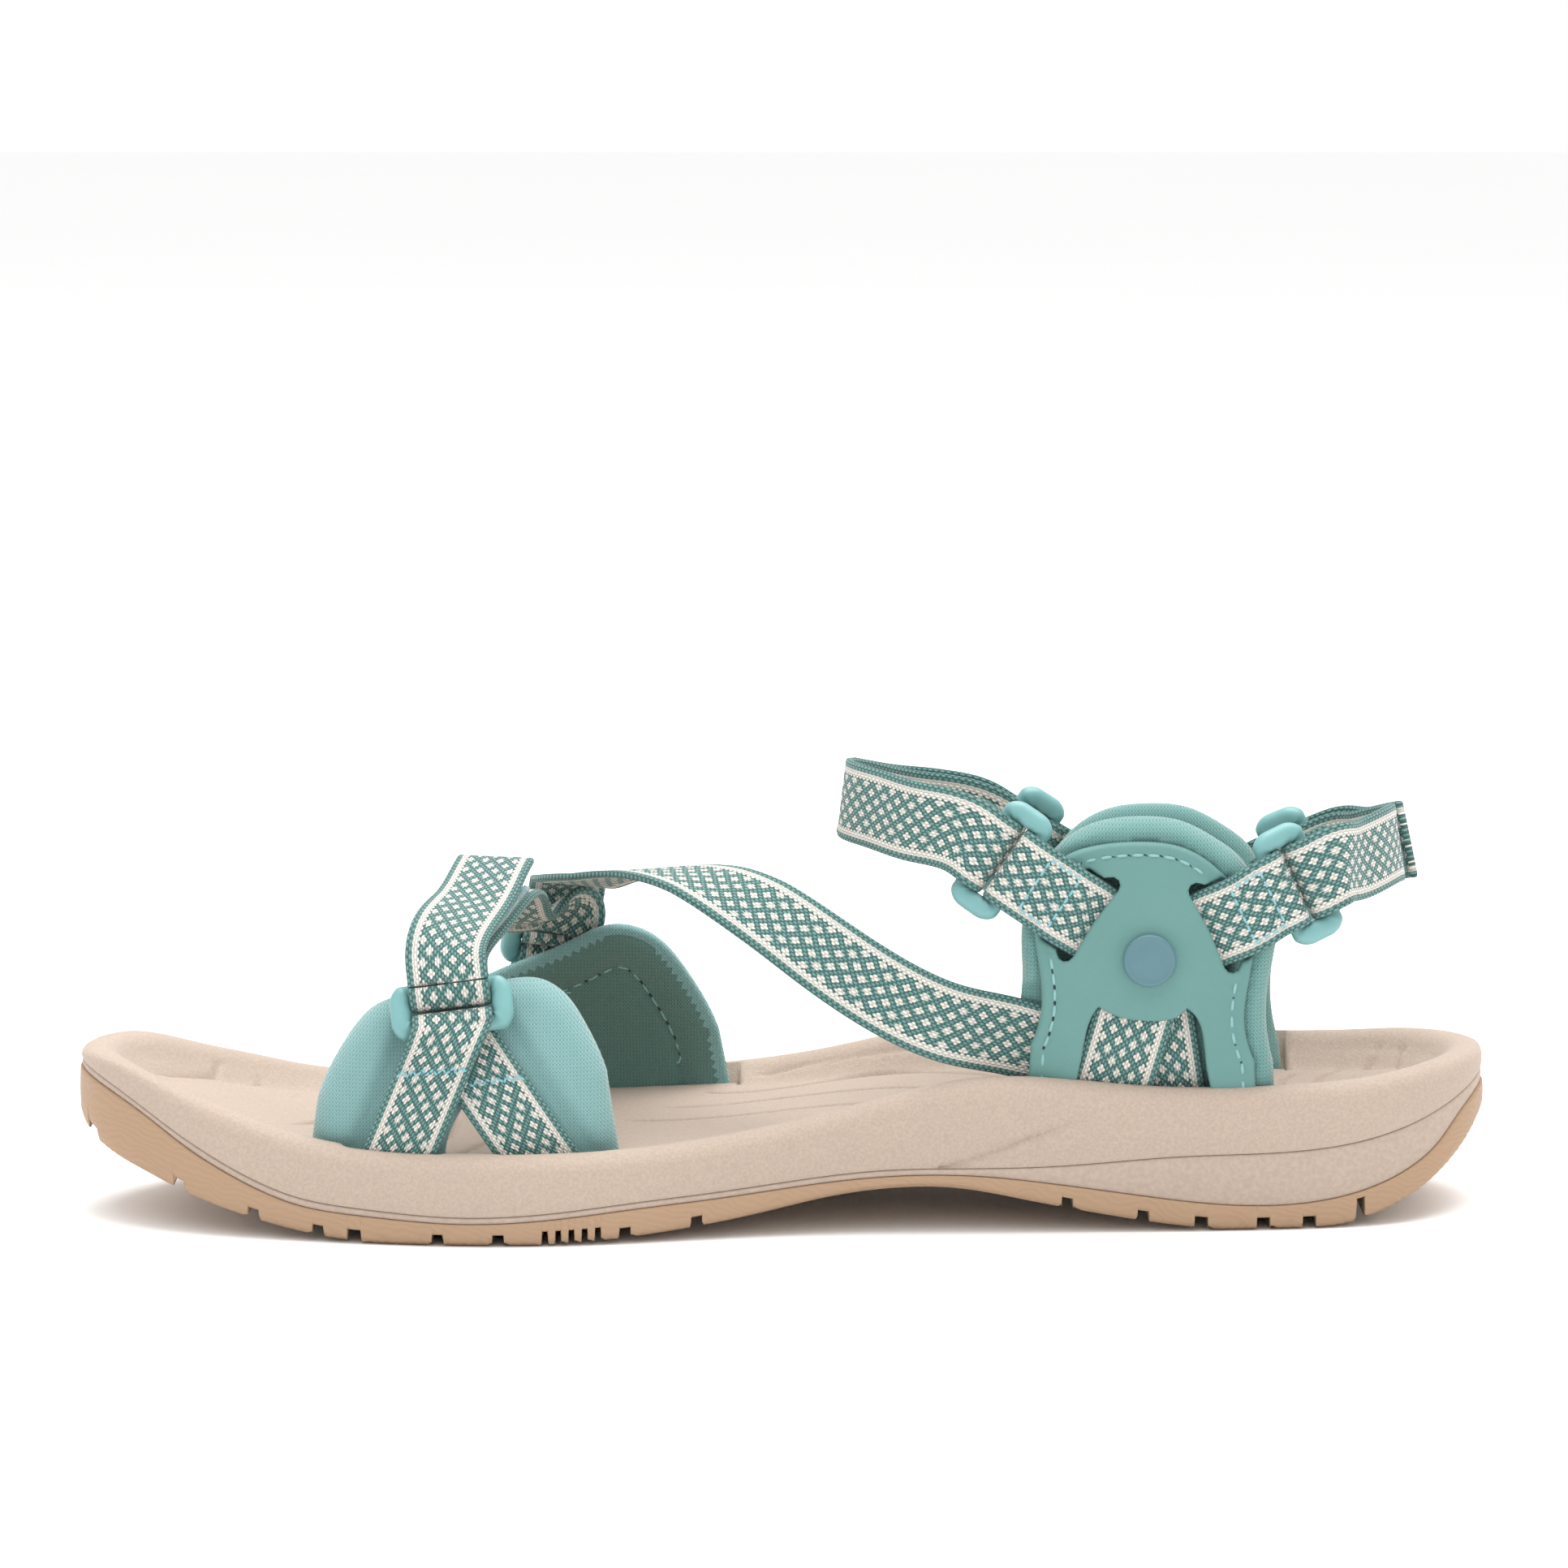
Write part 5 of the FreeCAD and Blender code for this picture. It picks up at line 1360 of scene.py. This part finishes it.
cuff("ankle", RINGS["ankle_medial"], RINGS["ankle_lateral"],
     [(24, -21.5, 74.2), (17, -12.5, 75.2), (12.2, -4, 75.6), (11.6, 3, 75.4), (15.6, 11, 73.6), (23.5, 20, 70.8)],
     [(-0.55, -0.8, 0.15), (-0.75, -0.6, 0.15), (-0.95, -0.25, 0.12), (-0.97, 0.2, 0.1), (-0.8, 0.55, 0.12),
      (-0.6, 0.75, 0.15)], 12, 36)
cuff("heel", RINGS["heel_medial"], RINGS["heel_lateral"],
     [(105.6, -20.5, 66.8), (110.6, -12, 67.4), (114, -3.5, 67.6), (114.8, 4, 66.6), (112.6, 12.5, 64.8),
      (108.4, 20, 62.8)],
     [(0.6, -0.8, 0.1), (0.8, -0.55, 0.1), (0.97, -0.2, 0.12), (0.97, 0.2, 0.15), (0.8, 0.55, 0.12),
      (0.65, 0.75, 0.1)], 12, 24)


# ---------------------------------------------------------------- heel quarters
OVERLAY_SIDE = [(-21.5, -16), (-19.6, -9), (-20, -2), (-21, 5), (-20.5, 12), (-16, 18.4), (-9, 21),
                (-2, 21.6), (6, 20.6), (13, 16.2), (17.8, 9.5), (19.2, 3), (18.2, -5), (17.6, -11), (19.6, -19)]
LINING_SIDE = [(-23.8, -12), (-23, -3), (-23.2, 4), (-21.9, 11), (-16.9, 19.9), (-10.5, 24.2), (-2, 25.6),
               (6, 24.8), (12.4, 21.6), (17.4, 17.6), (21.2, 9.5), (23.4, 3.5), (22.6, -3), (21.9, -9), (23.4, -20)]
QUARTER_BASE = 18.0


def side_loop(rivet, points, extra):
    shape = [(rivet[0] + x, rivet[1] + z) for x, z in points]
    curve = sampled(shape, 0.8)
    foot_front = (shape[0][0] - extra, QUARTER_BASE)
    foot_rear = (shape[-1][0] + extra, QUARTER_BASE)
    base = straight([shape[-1], foot_rear, foot_front, shape[0]], 0.8)
    return np.vstack([curve, base[1:-1]]), curve


def tab_slot(rivet, heading):
    """Slot that a tab comes out of: sides along the tab edges, a ledge round the rivet and small rounded ears."""
    along = np.array([math.cos(math.radians(heading)), math.sin(math.radians(heading))])
    across = np.array([-along[1], along[0]])
    half = [(12.3, 0.0), (12.3, 4.0), (12.35, 7.4), (12.6, 8.4), (13.3, 9.0), (14.3, 9.0), (15.1, 8.4), (15.6, 7.9),
            (17.4, 7.75), (18.8, 7.7), (19.3, 7.2), (19.35, 4.0), (19.35, 0.0)]
    loop = []
    for radius, side in half:
        loop.append((math.sqrt(radius ** 2 - min(side, 6.0) ** 2 * 0.35), side))
    loop += [(r, -side) for r, side in loop[-2:0:-1]]
    return straight([rivet + along * r + across * side for r, side in loop], 0.7, True)


def quarter(side):
    barrel, rivet = QUARTER[side], RIVET[side]
    lining_loop, lining_edge = side_loop(rivet, LINING_SIDE, 0.8)
    overlay_loop, overlay_edge = side_loop(rivet, OVERLAY_SIDE, 0.8)
    window = side_loop(rivet, OVERLAY_SIDE, 0.8)[0]

    def lining_front(gap, outer, x, z):
        flat = np.column_stack([x, z])
        within = inside(flat, window)
        edge = distance(flat, overlay_loop)
        signed = np.where(within, -edge, edge)
        tall = 3.1 + 1.25 * smooth(signed, -0.2, 1.6)
        tall = tall - 3.1 * (1 - smooth(signed, -4.2, -2.6))
        low = smooth(z, QUARTER_BASE + 4, QUARTER_BASE + 12)
        tall = np.where(tall > 3.1, 3.1 + (tall - 3.1) * low, tall)
        instep_side = 1.0
        if side == "medial":
            strap = (1 - smooth(x, 50, 56)) * smooth(z, 20, 24) * (1 - smooth(z, 43.5, 47))
            instep_side = 1 - strap
            tall = tall * instep_side + np.minimum(tall, 0.0) * (1 - instep_side)
        return 0.2 + (tall - 0.2) * rounded(gap, 3.0)

    def lining_back(gap, outer, x, z):
        inset = distance(np.column_stack([x, z]), lining_edge, False)
        seam = 0.8 * np.exp(-((inset - 6.2) / 0.6) ** 2) * smooth(gap, 1, 3)
        swell = 0.7 * np.exp(-((inset - 3.4) / 1.9) ** 2)
        return 0.2 - (3.0 + swell - seam) * rounded(gap, 3.0)

    pad = panel("lining_quarter_" + side, barrel, [lining_loop], lining_front, lining_back, "knit_lining",
                "knit_lining", nodes=("quarter_pad_" + side,))
    inner = shrink(lining_loop, 6.2)
    inner = inner[(distance(inner, lining_loop) > 5.9) & (inner[:, 1] > 28)]
    path = barrel.point(inner[:, 0], inner[:, 1], -2.25)
    order = np.argsort(np.arctan2(inner[:, 1] - rivet[1] + 6, -(inner[:, 0] - rivet[0])))
    stitches("lining_%s_seam" % side, path[order], -barrel.normal(inner[order, 0], inner[order, 1]), dash=2.2,
             gap=0.8, radius=0.2, slot="knit_lining")

    opening = [(-9.8, -9.4), (-9.2, -8.6), (-5, -10.6), (0, -11.2), (5, -10.6), (7.0, -8.9), (7.9, -9.6),
               (10.6, -19), (12.0, -26.6)]
    opening = [(rivet[0] + x, rivet[1] + z) for x, z in opening]
    foot_z = rivet[1] - 26.6
    left = [(rivet[0] - 13.6, foot_z), (rivet[0] - 12.0, rivet[1] - 17)]
    hole = np.vstack([sampled(left + opening[:2], 0.7)[:-1], sampled(opening[1:6], 0.7)[:-1],
                      sampled(opening[5:], 0.7)[:-1], straight([opening[-1], left[0]], 0.7)[:-1]])
    slots = [tab_slot(rivet, 146), tab_slot(rivet, 26), hole]

    def skin_front(gap, outer, x, z):
        inset = distance(np.column_stack([x, z]), overlay_edge, False)
        bead = 0.22 * np.exp(-((inset - 0.9) / 0.55) ** 2)
        channel = 0.22 * np.exp(-((inset - 2.35) / 0.5) ** 2)
        centre = np.hypot(x - rivet[0], z - rivet[1])
        dish = 0.18 * np.exp(-((centre - 5.6) / 1.1) ** 2)
        return OVERLAY_OUT - 0.55 + 0.55 * rounded(gap, 0.6) + bead * smooth(gap, 0.1, 0.6) - channel - dish

    def skin_back(gap, outer, x, z):
        return OVERLAY_IN + 0.25 - 0.25 * rounded(gap, 0.4)

    panel("overlay_quarter_" + side, barrel, [overlay_loop] + slots, skin_front, skin_back, "overlay_skin",
          "overlay_skin", spacing=1.1, insets=(0.08, 0.22, 0.45, 0.7, 1.0, 1.4, 1.8, 2.2, 2.6, 3.1),
          nodes=("quarter_overlay_" + side,))

    sewn = shrink(overlay_loop, 2.35)
    keep = (distance(sewn, overlay_loop) > 2.2) & (sewn[:, 1] > QUARTER_BASE + 3.5)
    for slot in slots:
        keep &= ~inside(sewn, slot) & (distance(sewn, slot) > 1.2)
    runs, run = [], []
    for point, good in zip(sewn, keep):
        if good:
            run.append(point)
        elif run:
            runs.append(np.array(run))
            run = []
    if run:
        runs.append(np.array(run))
    k = 0
    for chain in runs:
        if len(chain) < 6:
            continue
        k += 1
        path = barrel.point(chain[:, 0], chain[:, 1], OVERLAY_OUT - 0.2)
        stitches("overlay_%s_seam_%d" % (side, k), path, barrel.normal(chain[:, 0], chain[:, 1]),
                 dash=2.15, gap=0.75, radius=0.26)

    def leg(name, foot_x, top_x, top_z, offset):
        bottom = (foot_x, QUARTER_BASE - 4)
        places = [(bottom[0] + (top_x - bottom[0]) * f, bottom[1] + (top_z - bottom[1]) * f) for f in (0, 0.25, 0.5, 0.75, 1)]
        strip = stations_through([barrel.point(x, z, offset) for x, z in places],
                                 [barrel.normal(x, z, offset) for x, z in places])
        ribbon("leg_quarter_%s_%s" % (side, name), strip, crown=[0.22] * len(strip), cut_low=QUARTER_BASE,
               nodes=("quarter_webbing_%s_%s" % (side, name),))

    rx, rz = rivet
    leg("rear", rx + 5.2, rx - 1.8, rz + 7, THICK / 2 + 0.2)
    leg("front", rx - 10.0, rx + 2.2, rz + 7, THICK * 1.5 + 0.55)

    low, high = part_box("quarter_rivet_" + side)
    normal = barrel.normal(rx, rz)
    base = barrel.point(rx, rz)
    sideways = unit(np.cross(normal, (0, 0, 1)))
    upward = np.cross(sideways, normal)
    seat = OVERLAY_OUT + 0.05
    profile = [(0, 1.02), (1.5, 1.04), (2.8, 1.02), (3.5, 0.98), (3.8, 1.0), (4.05, 1.12), (4.35, 1.16), (4.6, 1.02),
               (4.78, 0.75), (4.85, 0.42), (4.82, 0.15), (4.7, 0.0), (1.6, 0.0), (1.6, -8.3), (0, -8.3)]
    verts, faces = [], []
    sides = 64
    for radius, tall in profile:
        for q in np.linspace(0, 2 * math.pi, sides, endpoint=False):
            verts.append(base + normal * (seat + tall) + (sideways * math.cos(q) + upward * math.sin(q)) * max(radius, 0.02))
    for r in range(len(profile) - 1):
        for q in range(sides):
            w = (q + 1) % sides
            faces.append((r * sides + q, r * sides + w, (r + 1) * sides + w, (r + 1) * sides + q))
    faces.append(tuple(range(sides)))
    faces.append(tuple((len(profile) - 1) * sides + q for q in range(sides)))
    piece("rivet_cap_" + side, verts, faces, "rivet_cap", "rivet_cap", nodes=("quarter_rivet_" + side,))


quarter("medial")
quarter("lateral")


def tab(name, side, ring, heading):
    barrel, rivet = QUARTER[side], RIVET[side]
    along = (math.cos(math.radians(heading)), math.sin(math.radians(heading)))
    places = [(rivet[0] + along[0] * r, rivet[1] + along[1] * r, off)
              for r, off in ((10.4, 2.5), (12.2, 2.5), (15.4, 4.1), (18.4, OVERLAY_OUT + 0.95), (20.5, OVERLAY_OUT + 1.0))]
    stations = [barrel.point(*p) for p in places]
    normals = [barrel.normal(*p) for p in places]
    stations += [ring.point(-3.2, FIXED_LOOP - 0.05, ring.b), ring.point(-0.8, FIXED_LOOP, ring.b)]
    normals += [ring.n, ring.n]
    strip = stations_through(stations, normals, 0.9)
    loop = strip + ring.arc(ring.b, FIXED_LOOP, 90, -90, 1) + [(ring.point(-2.2, -FIXED_LOOP, ring.b), ring.n * -1)]
    ribbon(name, loop, nodes=("%s_tab_%s" % (name.split("_")[1], side),))
    points, ahead, across, up = frames(strip)
    run = run_of(strip)

    def corner(s, w):
        k = int(np.argmin(np.abs(run - s)))
        return points[k] + across[k] * w + up[k] * 0.74, up[k]
    box = [corner(9.0, w) for w in np.linspace(-5.4, 5.4, 12)]
    box += [corner(s, 5.4) for s in np.linspace(9.8, 14.6, 6)]
    box += [corner(15.4, w) for w in np.linspace(5.4, -5.4, 12)]
    box += [corner(s, -5.4) for s in np.linspace(14.6, 9.8, 6)]
    stitches("box_stitch_" + name, [b[0] for b in box], [b[1] for b in box], dash=1.25, gap=0.45, radius=0.21,
             paint="thread_blue", hole=False, slot="webbing")


tab("tab_ankle_medial", "medial", RINGS["ankle_medial"], 146)
tab("tab_heel_medial", "medial", RINGS["heel_medial"], 26)
tab("tab_ankle_lateral", "lateral", RINGS["ankle_lateral"], 146)
tab("tab_heel_lateral", "lateral", RINGS["heel_lateral"], 26)

# ---------------------------------------------------------------- carried-over CAD nodes
for node, paint in (("quarter_rivet_washer_medial", "rivet_washer"), ("quarter_rivet_washer_lateral", "rivet_washer"),
                    ("arch_shank", "nylon_shank")):
    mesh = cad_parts[node].data
    mesh.materials.clear()
    mesh.materials.append(PAINTS[paint])

# ---------------------------------------------------------------- floor, lights and camera
ground = bpy.data.meshes.new("floor")
ground.from_pydata([(-4, -4, 0), (4, -4, 0), (4, 4, 0), (-4, 4, 0)], [], [(0, 1, 2, 3)])
ground.materials.append(floor_paint())
floor = bpy.data.objects.new("floor", ground)
bpy.context.scene.collection.objects.link(floor)
floor.location.z = -0.0002

world = bpy.data.worlds.new("studio")
bpy.context.scene.world = world
world.use_nodes = True
world.node_tree.nodes["Background"].inputs["Color"].default_value = (1.0, 1.0, 1.0, 1.0)
world.node_tree.nodes["Background"].inputs["Strength"].default_value = 1.0


def softbox(name, place, target, size, power, colour=(1, 1, 1)):
    light = bpy.data.lights.new(name, "AREA")
    light.shape = "RECTANGLE"
    light.size, light.size_y = size
    light.energy = power
    light.color = colour
    obj = bpy.data.objects.new(name, light)
    bpy.context.scene.collection.objects.link(obj)
    obj.location = place
    obj.rotation_euler = (Vector(target) - Vector(place)).to_track_quat("-Z", "Y").to_euler()


softbox("key", (-0.35, -0.55, 0.95), (0, 0, 0.03), (0.9, 0.6), 1.6)
softbox("top", (0.1, 0.15, 1.1), (0, 0, 0.03), (1.1, 1.1), 16)
softbox("fill", (0.9, -0.9, 0.45), (0, 0, 0.03), (0.8, 0.8), 0.3)
bpy.context.scene.view_settings.view_transform = "Standard"

camera = bpy.data.cameras.new("camera")
camera.lens = 159.6
camera.sensor_width = 36.0
camera.clip_end = 20.0
view = bpy.data.objects.new("camera", camera)
bpy.context.scene.collection.objects.link(view)
tilt = math.radians(8.0)
view.location = (0, -1.3 * math.cos(tilt), 0.0782 + 1.3 * math.sin(tilt))
view.rotation_euler = (math.pi / 2 - tilt, 0, 0)
bpy.context.scene.camera = view
